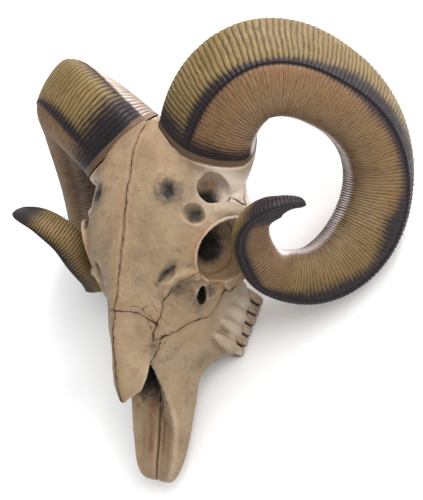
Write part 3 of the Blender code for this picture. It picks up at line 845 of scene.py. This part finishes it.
def blend_colour(share, low, high):
    """Lay the high colour over the low one where the share says."""
    tree = share.id_data
    new = node(tree, 'ShaderNodeMix', data_type='RGBA', blend_type='MIX')
    for index, value in ((0, share), (6, low), (7, high)):
        if isinstance(value, bpy.types.NodeSocket):
            tree.links.new(value, new.inputs[index])
        else:
            new.inputs[index].default_value = value
    return new.outputs[2]


def between(value, low, high, new_low=0.0, new_high=1.0):
    """Follow a value softly from low to high, as a number from new_low to new_high."""
    limits = {0: value, 1: low, 2: high, 3: new_low, 4: new_high}
    new = node(value.id_data, 'ShaderNodeMapRange', limits, clamp=True, interpolation_type='SMOOTHSTEP')
    return new.outputs[0]


def mottle(tone, patterns, rows):
    """Lay paints over the tone where a pattern passes from one level to another, up to a strength."""
    for pattern, low, high, strength, paint in rows:
        tone = blend_colour(between(patterns[pattern], low, high, 0.0, strength), tone, paint)
    return tone


def colour(red, green, blue):
    """A colour as a painter reads it off a screen, 0 to 255, made linear."""
    parts = [c / 255 for c in (red, green, blue)]
    return (*[c / 12.92 if c <= 0.04045 else ((c + 0.055) / 1.055) ** 2.4 for c in parts], 1)


def new_group(name, inputs, outputs):
    """A node group of plain numbers: its tree, its input node and its output node."""
    tree = bpy.data.node_groups.new(name, 'ShaderNodeTree')
    for label, default in inputs.items():
        socket = tree.interface.new_socket(label, in_out='INPUT', socket_type='NodeSocketFloat')
        socket.default_value = default
    for label in outputs:
        tree.interface.new_socket(label, in_out='OUTPUT', socket_type='NodeSocketFloat')
    return tree, tree.nodes.new('NodeGroupInput'), tree.nodes.new('NodeGroupOutput')


def cloud(tree, place, scale, detail, roughness=0.5):
    """Soft noise at a place, as a number."""
    inputs = {'Vector': place, 'Scale': scale, 'Detail': detail, 'Roughness': roughness}
    return node(tree, 'ShaderNodeTexNoise', inputs).outputs[0]


def near_cells(tree, place, scale):
    """Distance from the middles of small cells at a place, as a number."""
    inputs = {'Vector': place, 'Scale': scale, 'Randomness': 1.0}
    return node(tree, 'ShaderNodeTexVoronoi', inputs).outputs['Distance']


def speckle_group():
    """Soft mottling, small dark specks and pores, in the object's own space."""
    tree, given, result = new_group('mottled paint', {'Blotch size': 30.0},
                                    ('Blotch', 'Patch', 'Speck', 'Pore', 'Pit', 'Grain'))
    place = node(tree, 'ShaderNodeTexCoord').outputs['Object']
    patch = cloud(tree, place, 95.0, 2.0)
    patterns = {
        'Blotch': cloud(tree, place, given.outputs[0], 5.0, 0.6),
        'Patch': patch,
        'Speck': cloud(tree, place, 210.0, 4.0, 0.65),
        'Pore': times(between(near_cells(tree, place, 260.0), 0.18, 0.06), between(patch, 0.52, 0.60)),
        'Pit': between(near_cells(tree, place, 430.0), 0.42, 0.18),
        'Grain': cloud(tree, place, 900.0, 3.0),
    }
    for label, value in patterns.items():
        tree.links.new(value, result.inputs[label])
    return tree


MOTTLED = speckle_group()
BONE = colour(129, 110, 85)
BONE_LIGHT = colour(145, 128, 103)
BONE_DARK = colour(104, 87, 67)
BONE_FAINT = colour(97, 87, 76)
BONE_WARM = colour(144, 102, 66)
BONE_GREY = colour(64, 55, 47)
BONE_SOOT_AND_SHADE = colour(7, 5, 5)
BONE_RUST = colour(98, 58, 24)
BONE_PALE = colour(238, 226, 212)
SEAM_BROWN = colour(38, 24, 14)
SEAM_WASH = colour(100, 78, 54)
# Mottling of the bone: the pattern, the levels it passes, the strength there and the paint.
BONE_MOTTLING = (
    ('Blotch', 0.42, 0.66, 0.55, BONE_LIGHT),
    ('Blotch', 0.48, 0.32, 0.40, BONE_DARK),
    ('Patch', 0.54, 0.72, 0.40, BONE_FAINT),
    ('Speck', 0.55, 0.72, 0.35, BONE_DARK),
)


def mask(tree, name, strength=None):
    """What the vertices carry under a name, made weaker where a strength is given."""
    value = node(tree, 'ShaderNodeAttribute', attribute_name=name).outputs['Fac']
    return value if strength is None else times(value, strength)


def flecked(speck, low, high):
    """A number that the specks carry from low to high."""
    return between(speck, 0.3, 0.7, low, high)


def new_paint(name):
    paint = bpy.data.materials.new(name)
    paint.use_nodes = True
    return paint, paint.node_tree, paint.node_tree.nodes['Principled BSDF']


def finish_paint(shader, tone, roughness, gloss, relief, strength, distance):
    """Link a paint's colour, roughness and relief to its shader."""
    tree = tone.id_data
    tree.links.new(tone, shader.inputs['Base Color'])
    tree.links.new(roughness, shader.inputs['Roughness'])
    height = plus(*[times(pattern, depth) for pattern, depth in relief])
    bump = node(tree, 'ShaderNodeBump', {'Height': height, 'Strength': strength, 'Distance': distance})
    tree.links.new(bump.outputs[0], shader.inputs['Normal'])
    shader.inputs['Specular IOR Level'].default_value = gloss


def bone_paint(name, base, roughness):
    """Bone-coloured paint, washed into seams, warm on the edges, with painted shade in the hollows and a
    painted highlight on the rims.
    """
    paint, tree, shader = new_paint(name)
    spots = node(tree, 'ShaderNodeGroup', {'Blotch size': 34.0}, node_tree=MOTTLED).outputs
    blotch, patch, speck, pore, pit, grain = spots
    tone = mottle(base, spots, BONE_MOTTLING)
    # Pale bone over the tooth roots, and a painted highlight on the temple wall.
    tone = blend_colour(mask(tree, 'pale', 0.9), tone, BONE_PALE)
    tone = blend_colour(times(mask(tree, 'warm'), between(patch, 0.30, 0.62, 0.35, 0.85)), tone, BONE_WARM)
    tone = blend_colour(times(mask(tree, 'rust'), between(blotch, 0.35, 0.6, 0.45, 1.0)), tone, BONE_RUST)
    tone = blend_colour(mask(tree, 'seam_wash', 0.35), tone, SEAM_WASH)
    # Painted highlight on the convex rims of holes and ridges.
    tone = blend_colour(mask(tree, 'rim_highlight', 0.15), tone, BONE_PALE)
    pits = times(pit, mask(tree, 'pitted'), between(patch, 0.42, 0.56), 0.75)
    tone = blend_colour(larger(times(pore, 0.7), pits), tone, SEAM_BROWN)
    # Sprayed soot and painted shade: grey where it is thin, black where it is thick, and never quite even.
    ragged = plus(mask(tree, 'soot_and_shade'), flecked(speck, -0.13, 0.13))
    tone = blend_colour(between(ragged, 0.06, 0.72, 0.0, 0.88), tone, BONE_GREY)
    tone = blend_colour(between(ragged, 0.50, 1.02, 0.0, 0.96), tone, BONE_SOOT_AND_SHADE)
    seam = between(plus(mask(tree, 'seam'), flecked(speck, -0.30, 0.25)), 0.38, 0.85)
    hair = between(plus(mask(tree, 'crack'), flecked(speck, -0.45, 0.2)), 0.40, 0.9)
    line = larger(seam, hair)
    tone = blend_colour(times(line, between(patch, 0.38, 0.55, 0.45, 0.97)), tone, SEAM_BROWN)
    finish_paint(shader, tone, flecked(speck, roughness - 0.08, roughness + 0.10), gloss=0.22,
                 relief=((grain, 0.12), (speck, 0.7), (pore, -0.8), (line, -1.6)),
                 strength=0.55, distance=0.0005)
    return paint


# Where the skull comes to lie: pitched a little nose down, on its horns and cheek teeth.
REST_PITCH = math.radians(0.8)
REST_SHIFT = Vector((0, -0.1643, 0.0003))
LAID = Matrix.Translation(REST_SHIFT) @ Matrix.Rotation(REST_PITCH, 4, 'X')


def lay_down(item):
    """Set a finished piece where it lies, worn flat where it would go below the floor."""
    item.data.transform(LAID)
    for vert in item.data.vertices:
        vert.co.z = max(vert.co.z, 0.0)
    item.data.update()
    return item


def finish_piece(item, name, paint, node_name, angle=50):
    """Lay a piece down, give it its paint and its name, and let it stand for its CAD node."""
    lay_down(item)
    item.name = name
    item.data.name = name
    item.data.materials.clear()
    item.data.materials.append(paint)
    pick(item)
    bpy.ops.object.shade_smooth_by_angle(angle=math.radians(angle))
    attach(item, 'root')
    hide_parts(node_name)


BONE_ROUGHNESS = 0.56
for name, bone in bones.items():
    paint = bone_paint('painted bone, ' + name.replace('_', ' '), BONE, BONE_ROUGHNESS)
    finish_piece(bone, name + '_bone', paint, name)

# ---- Cheek teeth ---------------------------------------------------------------------------------
# Six grinding teeth stand in a row on each side of the upper jaw, each with two pillars down its
# outer side and a worn, hollowed chewing face.
TOOTH_COUNT = 6
TOOTH_FIRST = Vector((37.9, 113.5, 0.0))
TOOTH_LAST = Vector((43.9, 158, -3.5))
TOOTH_WIDTH = 13.0
# Height over its foot, and size there against its widest.
TOOTH_LEVELS = ((25, 0.80), (15, 0.90), (9, 0.99), (3, 1.0), (0.8, 0.97), (0.0, 0.86), (1.0, 0.70),
                (1.4, 0.40))
TOOTH_LENGTH = 8.9
TOOTH_SWELL = 1.7               # how much longer the middle teeth are
TOOTH_PILLAR = 1.5
TOOTH_LEAN = 0.10
TOOTH_POINTS = 40
ENAMEL = colour(146, 118, 90)
ENAMEL_LIGHT = colour(172, 154, 134)
ENAMEL_DARK = colour(44, 33, 27)


def rounded(value, power):
    """A number from -1 to 1 pushed towards its ends, which squares an oval's corners."""
    return math.copysign(abs(value) ** power, value)


def tooth(index, side):
    share = index / (TOOTH_COUNT - 1)
    foot = TOOTH_FIRST.lerp(TOOTH_LAST, share)
    long_side = TOOTH_LENGTH + TOOTH_SWELL * math.sin(math.pi * share)
    rings = []
    for level, size in TOOTH_LEVELS:
        ring = []
        for k in range(TOOTH_POINTS):
            a = 2 * math.pi * k / TOOTH_POINTS
            x = rounded(math.cos(a), 0.7) * TOOTH_WIDTH / 2
            y = rounded(math.sin(a), 0.8) * long_side / 2
            pillar = TOOTH_PILLAR * math.cos(4 * math.pi * y / long_side) * abs(math.cos(a))
            x += math.copysign(pillar, x)
            ring.append(((foot.x + x * size + TOOTH_LEAN * level) * side,
                         foot.y + y * size + 0.04 * level, foot.z + level))
        rings.append(ring)
    return settle(drawn_out('tooth', rings), 'SUBSURF', levels=2, render_levels=2)


def tooth_paint():
    paint, tree, shader = new_paint('painted enamel')
    spots = node(tree, 'ShaderNodeGroup', {'Blotch size': 120.0}, node_tree=MOTTLED).outputs
    speck = spots['Speck']
    tone = mottle(ENAMEL, spots, (('Blotch', 0.4, 0.65, 1.0, ENAMEL_LIGHT),))
    # Painted shade between the teeth and in their hollows, in a dark enamel colour.
    gap_shade = plus(mask(tree, 'soot_and_shade'), flecked(speck, -0.15, 0.15))
    tone = blend_colour(between(gap_shade, 0.1, 0.9, 0.0, 0.9), tone, ENAMEL_DARK)
    finish_paint(shader, tone, flecked(speck, 0.30, 0.48), gloss=0.5, relief=((speck, 1.0),),
                 strength=0.4, distance=0.0004)
    return paint


enamel = tooth_paint()
for side, hand in ((1, 'left'), (-1, 'right')):
    row = join([tooth(index, side) for index in range(TOOTH_COUNT)], 'teeth_' + hand)
    points, normals, edges = vertex_table(row)
    across = (points[:, 1] - TOOTH_FIRST.y) / (TOOTH_LAST.y - TOOTH_FIRST.y) * (TOOTH_COUNT - 1)
    joint = np.abs(across + 0.5 - np.round(across + 0.5))
    # Painted shade between the teeth and in the hollows of their chewing faces.
    gaps = ramp(hollowness(points, normals, edges, 14), 0, 0.25)
    set_masks(row, {'soot_and_shade': fade(joint, 0.15) * 0.95 + gaps * 0.7})
    finish_piece(row, 'cheek_teeth_' + hand, enamel, 'upper_jaw_' + hand)

# ---- Horns ---------------------------------------------------------------------------------------
# Each horn is a three-sided spiral, cast with close cross ribs, and painted olive gold with
# purple-black sprayed along its front keel, at its foot and at its tip.
HORN_SMOOTH_ANGLE = 80
HORN_RINGS = 1240
HORN_COLUMNS = 22                         # on each of its three faces
HORN_STATIONS = 125                       # rings read exactly; those between are eased in
HORN_INSET = 1.2
HORN_TIP = ((0.8, 0.93), (1.6, 0.82), (2.4, 0.66), (3.0, 0.46), (3.3, 0.22))
RIB_PITCH = (3.0, 3.0, 2.9, 2.8, 2.6, 2.3, 2.1)
RIB_WANDER = ((0.30, 1.1, 26, 0), (0.15, 3.4, 9, 9), (0.07, 8.0, 5, 4))  # share, fineness, length, seed
RIB_DEPTH = 0.58                          # on the front face
RIB_DEPTH_SIDE = 0.32                     # less than that on the side face
RIB_DEPTH_MIDDLE = 0.45                   # more than that on the face towards the head
RIB_DEPTH_INNER = 1.15                    # more than that on the inner keel
KEEL_GROOVE = 1.2
KEEL_RAISED = 0.5
SKIRT = 4.2                               # plain collar at the foot, with thin lines round it
SKIRT_RAISED = 0.5
SKIRT_LINES = (1.2, 2.9)
LINE_DEPTH = 0.5
LINE_WIDTH = 0.4
TIP_TAPER = 0.42
TIP_LENGTH = 26.0
# Places along the horn, and how far the sprayed paint reaches from the front keel there.
SPRAY_FRONT = ((0, 25, 90, 120, 150, 200, 300, 370), (13, 7, 3.5, 6, 14, 16, 12, 5.5))
SPRAY_SIDE = ((0, 40, 120, 160, 200, 260, 330, 370), (5, 3, 3, 5, 8, 13, 13, 7))
CURL_FROM = 335                           # where the outermost curl starts


def eased_rows(rows, places):
    """Rows of a table read smoothly at places between them."""
    low = np.minimum(places.astype(int), len(rows) - 2)
    t = (places - low).reshape(-1, *[1] * (rows.ndim - 1))
    before, here = rows[np.maximum(low - 1, 0)], rows[low]
    there, after = rows[low + 1], rows[np.minimum(low + 2, len(rows) - 1)]
    return eased(t, here, there, (there - before) / 2, (after - here) / 2)


def column_places():
    """Where the columns stand round the section: close together beside the front keel."""
    steps = np.arange(HORN_COLUMNS) / HORN_COLUMNS
    return np.concatenate([steps ** 1.3, 1 + steps, 3 - (1 - steps) ** 1.6]) * FACE_STEPS


def uneven(turns, lengths, fine, stretch, seed):
    """Smooth noise over the horn's surface, with no seam round it."""
    values = np.empty((len(lengths), len(turns)))
    for i, length in enumerate(lengths):
        for k, turn in enumerate(turns):
            spot = Vector((math.cos(turn) * fine + seed, math.sin(turn) * fine, length / stretch))
            values[i, k] = noise.noise(spot)
    return values


def plain_grid(name, sides, rings):
    """A flat grid, and the column and the row that each of its vertices stands in."""
    bpy.ops.object.select_all(action='DESELECT')
    bpy.ops.mesh.primitive_grid_add(x_subdivisions=sides, y_subdivisions=rings, size=1)
    item = bpy.context.object
    item.name = name
    flat = np.empty(len(item.data.vertices) * 3)
    item.data.vertices.foreach_get('co', flat)
    flat = flat.reshape(-1, 3) + 0.5
    column = np.round(flat[:, 0] * sides).astype(int) % sides
    return item, column, np.round(flat[:, 1] * rings).astype(int)


def close_ends():
    """Merge the wound grid's long edges and close its two ends."""
    bpy.ops.object.mode_set(mode='EDIT')
    bpy.ops.mesh.select_all(action='SELECT')
    bpy.ops.mesh.remove_doubles(threshold=0.00001)
    bpy.ops.mesh.select_all(action='DESELECT')
    bpy.ops.mesh.select_non_manifold()
    bpy.ops.mesh.edge_face_add()
    bpy.ops.mesh.poke()
    face_outwards()


def wound_horn(name):
    """A plain grid, wound up ring by ring into the horn, with its ribs raised."""
    places_round = column_places()
    item, column, row = plain_grid(name, len(places_round), HORN_RINGS + len(HORN_TIP))

    # The smooth spiral: its rings, centres, and the distances along and round it in millimetres.
    stations = np.linspace(0, 1, HORN_STATIONS)
    places = np.linspace(0, HORN_STATIONS - 1, HORN_RINGS + 1)
    rings = eased_rows(np.array([horn_ring(s, places_round, -HORN_INSET) for s in stations]), places)
    centres = eased_rows(np.array([horn_frame(s)[0] for s in stations]), places)
    tip, along, _, _ = horn_frame(1.0)
    rings = np.concatenate([rings, [horn_ring(1.0, places_round, -HORN_INSET, back, size)
                                    for back, size in HORN_TIP]])
    centres = np.concatenate([centres, [tip + along * back for back, _ in HORN_TIP]])
    length = np.concatenate([[0], np.cumsum(np.linalg.norm(np.diff(centres, axis=0), axis=1))])
    left = (length[-1] - length)[:, None]
    run = length[:, None]
    taper = 1 - TIP_TAPER * np.clip(1 - left / TIP_LENGTH, 0, 1) ** 1.6
    out = (rings - centres[:, None, :]) * taper[:, :, None]
    rings = centres[:, None, :] + out
    reach = np.linalg.norm(out, axis=2)
    out = out / reach[:, :, None]
    edges = np.linalg.norm(np.roll(rings, -1, axis=1) - rings, axis=2)
    around = np.cumsum(edges, axis=1) - edges
    girth = edges.sum(axis=1)[:, None]
    crown, inner = around[:, HORN_COLUMNS][:, None], around[:, 2 * HORN_COLUMNS][:, None]
    from_front = np.minimum(around, girth - around)
    from_crown = np.abs(around - crown)
    from_inner = np.abs(around - inner)
    on_side = ramp(around, inner, 4)
    on_middle = ramp(around, crown, 4) * ramp(inner, around, 4)
    near_inner = fade(from_inner, 0.10 * girth, 1)

    # Ribs: their count grows along the horn, and each wanders a little on its way round.
    turns = 2 * math.pi * places_round / (3 * FACE_STEPS)
    pitch = np.interp(np.linspace(0, 1, len(length)), np.linspace(0, 1, len(RIB_PITCH)), RIB_PITCH)
    ribs = np.concatenate([[0], np.cumsum(np.diff(length) / pitch[1:])])[:, None]
    for share, fine, stretch, seed in RIB_WANDER:
        ribs = ribs + share * uneven(turns, length, fine, stretch, seed)
    rough = uneven(turns, length, 2.3, 3.5, 5)
    broad = uneven(turns, length, 1.3, 30, 3)
    groove = np.abs(np.cos(math.pi * ribs)) ** (4.4 - 2.2 * np.maximum(near_inner, on_middle))
    shown = ramp(run, SKIRT, 2.5) * ramp(left, 0, 8)
    depth = (RIB_DEPTH - RIB_DEPTH_SIDE * on_side + RIB_DEPTH_MIDDLE * on_middle
             + RIB_DEPTH_INNER * near_inner)
    drop = groove * depth * (0.9 + 0.6 * rough) * shown * np.maximum(ramp(reach, 0, 20), 0.2)
    # The front keel overhangs a crease on the side face.
    crease = fade(from_front - 1.7, 1.0) * np.clip(on_side * 1.2 - 0.2, 0, 1)
    crease = crease * ramp(run, SKIRT, 6) * ramp(left, 0, 60)
    drop = drop + KEEL_GROOVE * crease - KEEL_RAISED * fade(from_front, 1.6) * shown
    # The collar at the foot stands a little proud, with its lines cut in.
    drop = drop - SKIRT_RAISED * ramp(SKIRT, run, 1.5)
    collar_lines = [fade(run - line, LINE_WIDTH) for line in SKIRT_LINES]
    for line in collar_lines:
        drop = drop + LINE_DEPTH * line
    rings = rings - out * drop[:, :, None]
    item.data.vertices.foreach_set('co', (rings[row, column] * MM).ravel())

    spray = np.where(on_side > 0.5, np.interp(run, *SPRAY_SIDE), np.interp(run, *SPRAY_FRONT))
    spray = spray * (1 + 0.6 * broad)
    past_crown = ramp(around, crown, 2)
    curl = ramp(run, CURL_FROM, 45)
    keel_blush = fade(from_front, 12, 1) * np.clip(1.6 - run / 220, 0, 1)
    masks = {
        'rib_groove': groove * shown,
        'front_face': ramp(around, 0, 3) * ramp(crown, around, 5),
        'middle_face': on_middle,
        'side_face': on_side,
        'keel_spray': fade(from_front, spray, 1.6),
        # A dark line painted below the front keel, partly painted shadow of the keel's overhang.
        'keel_line_and_shadow': fade(from_front - 1.3, 0.9) * np.clip(on_side + 0.25, 0, 1),
        'side_blush': on_side * np.maximum(keel_blush, 0.7 * curl),
        'side_plain': on_side * (1 - curl),
        'inner_bloom': 1.25 - from_inner / (0.14 * girth),
        # Painted highlight on the rib crests along the inner keel.
        'inner_crest': fade(from_inner, 2.2 + 9 * on_middle) * (1 - groove),
        'crown_spray': fade(from_crown, 6, 1) * (1 - past_crown) * np.clip(1.3 - run / 160, 0.2, 1),
        # Painted highlight in cream beyond the crown keel.
        'crown_glow': past_crown * fade(from_crown, 22, 1) * ramp(200, run, 60),
        'foot_share': (1 - 0.8 * past_crown * (1 - on_side)) * (1 - 0.25 * on_side) * (1 + 0.5 * broad),
        'skirt': ramp(SKIRT + 0.5, run, 1.0),
        'skirt_line': sum(collar_lines),
        'tip_spray': 1.25 - left / 44,
        'olive_share': ramp(run, 120, 160),
        'bloom': 0.5 + 0.6 * broad,
    }
    numbers = {'wind_x': 3 * np.cos(turns), 'wind_y': 3 * np.sin(turns), 'run': run, 'rib_count': ribs}

    def at_vertices(tables):
        return {label: np.broadcast_to(values, ribs.shape)[row, column] for label, values in tables.items()}

    set_masks(item, at_vertices(masks))
    for label, values in at_vertices(numbers).items():
        set_number(item, label, values)
    close_ends()
    return item


HORN_OLIVE = colour(106, 88, 47)
HORN_BROWN = colour(134, 102, 64)
HORN_RED = colour(104, 70, 52)
HORN_LIGHT = colour(136, 115, 72)
HORN_MAUVE = colour(132, 113, 98)
HORN_CREAM = colour(206, 192, 186)
HORN_GLOW = colour(250, 242, 243)
HORN_VALLEY = colour(46, 33, 24)
HORN_PURPLE = colour(12, 7, 18)
HORN_SKIRT = colour(120, 94, 70)
HORN_LINE = colour(35, 21, 17)
# Mottling of the horns: the pattern, the levels it passes, the strength there and the paint.
HORN_BLOTCHES = (('Blotch', 0.52, 0.72, 0.35, HORN_LIGHT), ('Blotch', 0.46, 0.30, 0.30, HORN_RED))
HORN_THREADS = (('Streak', 0.52, 0.70, 0.35, HORN_LIGHT), ('Thread', 0.52, 0.30, 0.60, HORN_VALLEY))


def horn_streaks():
    """Fine lines that run round the horn with its ribs: in the grooves, between them, and at random."""
    tree, _, result = new_group('horn streaks', {}, ('Streak', 'Thread', 'Groove', 'Fine groove'))
    for label, step, stretch in (('Streak', 0.55, 1.0), ('Thread', 1.6, 1.3)):
        axes = (('wind_x', stretch), ('wind_y', stretch), ('run', step))
        parts = {axis: mask(tree, *values) for axis, values in enumerate(axes)}
        place = node(tree, 'ShaderNodeCombineXYZ', parts).outputs[0]
        lines = cloud(tree, place, 1.0, 3.0, 0.55)
        tree.links.new(lines, result.inputs[label])
    count = plus(mask(tree, 'rib_count'), flecked(lines, -0.07, 0.07))
    for label, turns, power in (('Groove', math.pi, 7.0), ('Fine groove', 2 * math.pi, 4.0)):
        wave = sums('ABSOLUTE', sums('COSINE', times(count, turns)))
        tree.links.new(sums('POWER', wave, power), result.inputs[label])
    return tree


STREAKS = horn_streaks()


def horn_paint(name, foot, crest_highlight):
    """Olive gold over brown ribs, with purple-black sprayed on keel, foot and tip.

    The foot is how far the spray reaches up from the collar in millimetres, the crest highlight how
    strong a painted highlight lies on the rib crests along the inner keel."""
    paint, tree, shader = new_paint(name)
    spots = node(tree, 'ShaderNodeGroup', {'Blotch size': 42.0}, node_tree=MOTTLED).outputs
    lines = node(tree, 'ShaderNodeGroup', node_tree=STREAKS).outputs
    streak, thread, groove, fine_groove = lines
    middle, plain, inner_bloom = (mask(tree, k) for k in ('middle_face', 'side_plain', 'inner_bloom'))
    olive = larger(mask(tree, 'front_face'), mask(tree, 'olive_share', 0.75), times(middle, 0.95))
    tone = blend_colour(olive, HORN_BROWN, HORN_OLIVE)
    tone = blend_colour(between(mask(tree, 'bloom'), 0.35, 0.8, 0.0, 0.35), tone, HORN_LIGHT)
    tone = blend_colour(times(inner_bloom, mask(tree, 'side_face'), 0.45), tone, HORN_MAUVE)
    tone = blend_colour(times(middle, inner_bloom, 0.5), tone, HORN_RED)
    tone = blend_colour(mask(tree, 'side_blush', 0.7), tone, HORN_RED)
    tone = mottle(mottle(tone, spots, HORN_BLOTCHES), lines, HORN_THREADS)
    # Painted highlight: cream beyond the crown keel.
    tone = blend_colour(mask(tree, 'crown_glow', 0.85), tone, HORN_CREAM)
    # Painted highlight: near white on the rib crests along the inner keel.
    tone = blend_colour(mask(tree, 'inner_crest', crest_highlight), tone, HORN_GLOW)
    # Dark paint lies in the grooves: a line to each rib, and two finer ones on the side face.
    shown = between(mask(tree, 'rib_groove'), 0.0, 0.2)
    deep = times(groove, flecked(streak, 0.45, 0.85), between(plain, 0.0, 1.0, 1.1, 0.36), shown)
    valley = larger(deep, times(fine_groove, flecked(streak, 0.30, 0.60), plain))
    tone = blend_colour(valley, tone, HORN_VALLEY)
    # The sprayed purple-black catches more in the grooves and is broken up by the ribs.
    foot_spray = between(mask(tree, 'run'), SKIRT + 1.3 * foot, SKIRT, 0.0, 1.1)
    spray = larger(mask(tree, 'keel_spray'), times(foot_spray, mask(tree, 'foot_share')),
                   mask(tree, 'crown_spray', 0.75), between(mask(tree, 'tip_spray'), 0.0, 0.8))
    caught = plus(times(groove, 0.30), flecked(thread, -0.20, 0.12))
    # The dark line under the front keel is partly paint, partly painted shadow of its overhang.
    spray = larger(between(plus(spray, caught), 0.14, 0.74), mask(tree, 'keel_line_and_shadow', 0.95))
    tone = blend_colour(times(spray, 0.96), tone, HORN_PURPLE)
    tone = blend_colour(mask(tree, 'skirt', 0.8), tone, HORN_SKIRT)
    tone = blend_colour(mask(tree, 'skirt_line', 0.85), tone, HORN_LINE)
    relief = ((spots['Speck'], 0.5), (streak, 1.1), (thread, 0.5), (spots['Grain'], 0.15), (valley, -1.0))
    finish_paint(shader, tone, flecked(spots['Speck'], 0.44, 0.62), gloss=0.25, relief=relief,
                 strength=0.6, distance=0.0005)
    return paint


horn_left = wound_horn('horn_spiral_left')
# Each horn, how far the spray at its foot reaches, and how strong the painted highlight on the rib crests by
# its inner keel is.
horns = {'left': (horn_left, 17, 0.95), 'right': (mirror_twin(horn_left), 27, 0.28)}
for hand, (horn, foot, crest_highlight) in horns.items():
    paint = horn_paint('painted horn, ' + hand, foot, crest_highlight)
    finish_piece(horn, 'horn_spiral_' + hand, paint, 'horn_' + hand, angle=HORN_SMOOTH_ANGLE)

# ---- Floor, light and camera ---------------------------------------------------------------------
# The skull lies on a plain pale floor in soft light from above and in front, with a bright light
# from behind on its left.  The camera looks down on it as the photograph does.
FLOOR_SIZE = 9.0
FLOOR_GREY = (0.86, 0.86, 0.86, 1)
FLOOR_PALE = (0.90, 0.90, 0.90, 1)
FLOOR_ROUGHNESS = 0.8
FLOOR_GLOSS = 0.2
AIM = (0.0, 0.0, 0.06)
# Each light's place, width in metres, power in watts and tint; all are aimed at the skull.
LIGHTS = {
    'top light': ((1.1, 0.45, 1.2), 1.3, 23, (1, 1, 1)),
    'front light': ((-0.8, -1.2, 1.0), 1.4, 2, (1, 1, 1)),
    'back light': ((0.5, 1.6, 1.1), 0.9, 46, (1.0, 0.95, 0.97)),
}
ROOM_LIGHT = 0.84


def floor_finish():
    finish, tree, shader = new_paint('pale floor')
    place = node(tree, 'ShaderNodeTexCoord').outputs['Object']
    tone = blend_colour(cloud(tree, place, 3.0, 3.0), FLOOR_GREY, FLOOR_PALE)
    tree.links.new(tone, shader.inputs['Base Color'])
    shader.inputs['Roughness'].default_value = FLOOR_ROUGHNESS
    shader.inputs['Specular IOR Level'].default_value = FLOOR_GLOSS
    return finish


bpy.ops.object.select_all(action='DESELECT')
bpy.ops.mesh.primitive_plane_add(size=FLOOR_SIZE)
floor = fix_place(bpy.context.object, 'floor')
floor.data.materials.append(floor_finish())
for name, (place, width, power, tint) in LIGHTS.items():
    light = bpy.data.lights.new(name, 'AREA')
    light.shape = 'DISK'
    light.size = width
    light.energy = power
    light.color = tint
    lamp = bpy.data.objects.new(name, light)
    bpy.context.collection.objects.link(lamp)
    lamp.location = place
    lamp.rotation_euler = (Vector(AIM) - Vector(place)).to_track_quat('-Z', 'Y').to_euler()
world = bpy.data.worlds.new('pale room')
world.use_nodes = True
background = world.node_tree.nodes['Background'].inputs
background['Color'].default_value = (1, 1, 1, 1)
background['Strength'].default_value = ROOM_LIGHT
bpy.context.scene.world = world
bpy.context.scene.view_settings.view_transform = 'Standard'

# The camera's place and directions, given in the skull's own frame and laid down with it.
CAMERA_PLACE = Vector((358.66, 22.27, 486.52))
CAMERA_BACK = Vector((0.58035, -0.28296, 0.76363)).normalized()
CAMERA_UP = Vector((-0.00619, 0.93614, 0.35158))
CAMERA_LENS = 51.2358
SENSOR_HEIGHT = 36
camera_across = CAMERA_UP.cross(CAMERA_BACK).normalized()
camera_up = CAMERA_BACK.cross(camera_across)
turn = Matrix((camera_across, camera_up, CAMERA_BACK)).transposed().to_4x4()
lens = bpy.data.cameras.new('camera')
lens.sensor_fit = 'VERTICAL'
lens.sensor_height = SENSOR_HEIGHT
lens.lens = CAMERA_LENS
camera = bpy.data.objects.new('camera', lens)
bpy.context.collection.objects.link(camera)
camera.matrix_world = LAID @ Matrix.Translation(CAMERA_PLACE * MM) @ turn
bpy.context.scene.camera = camera

bpy.context.view_layer.update()
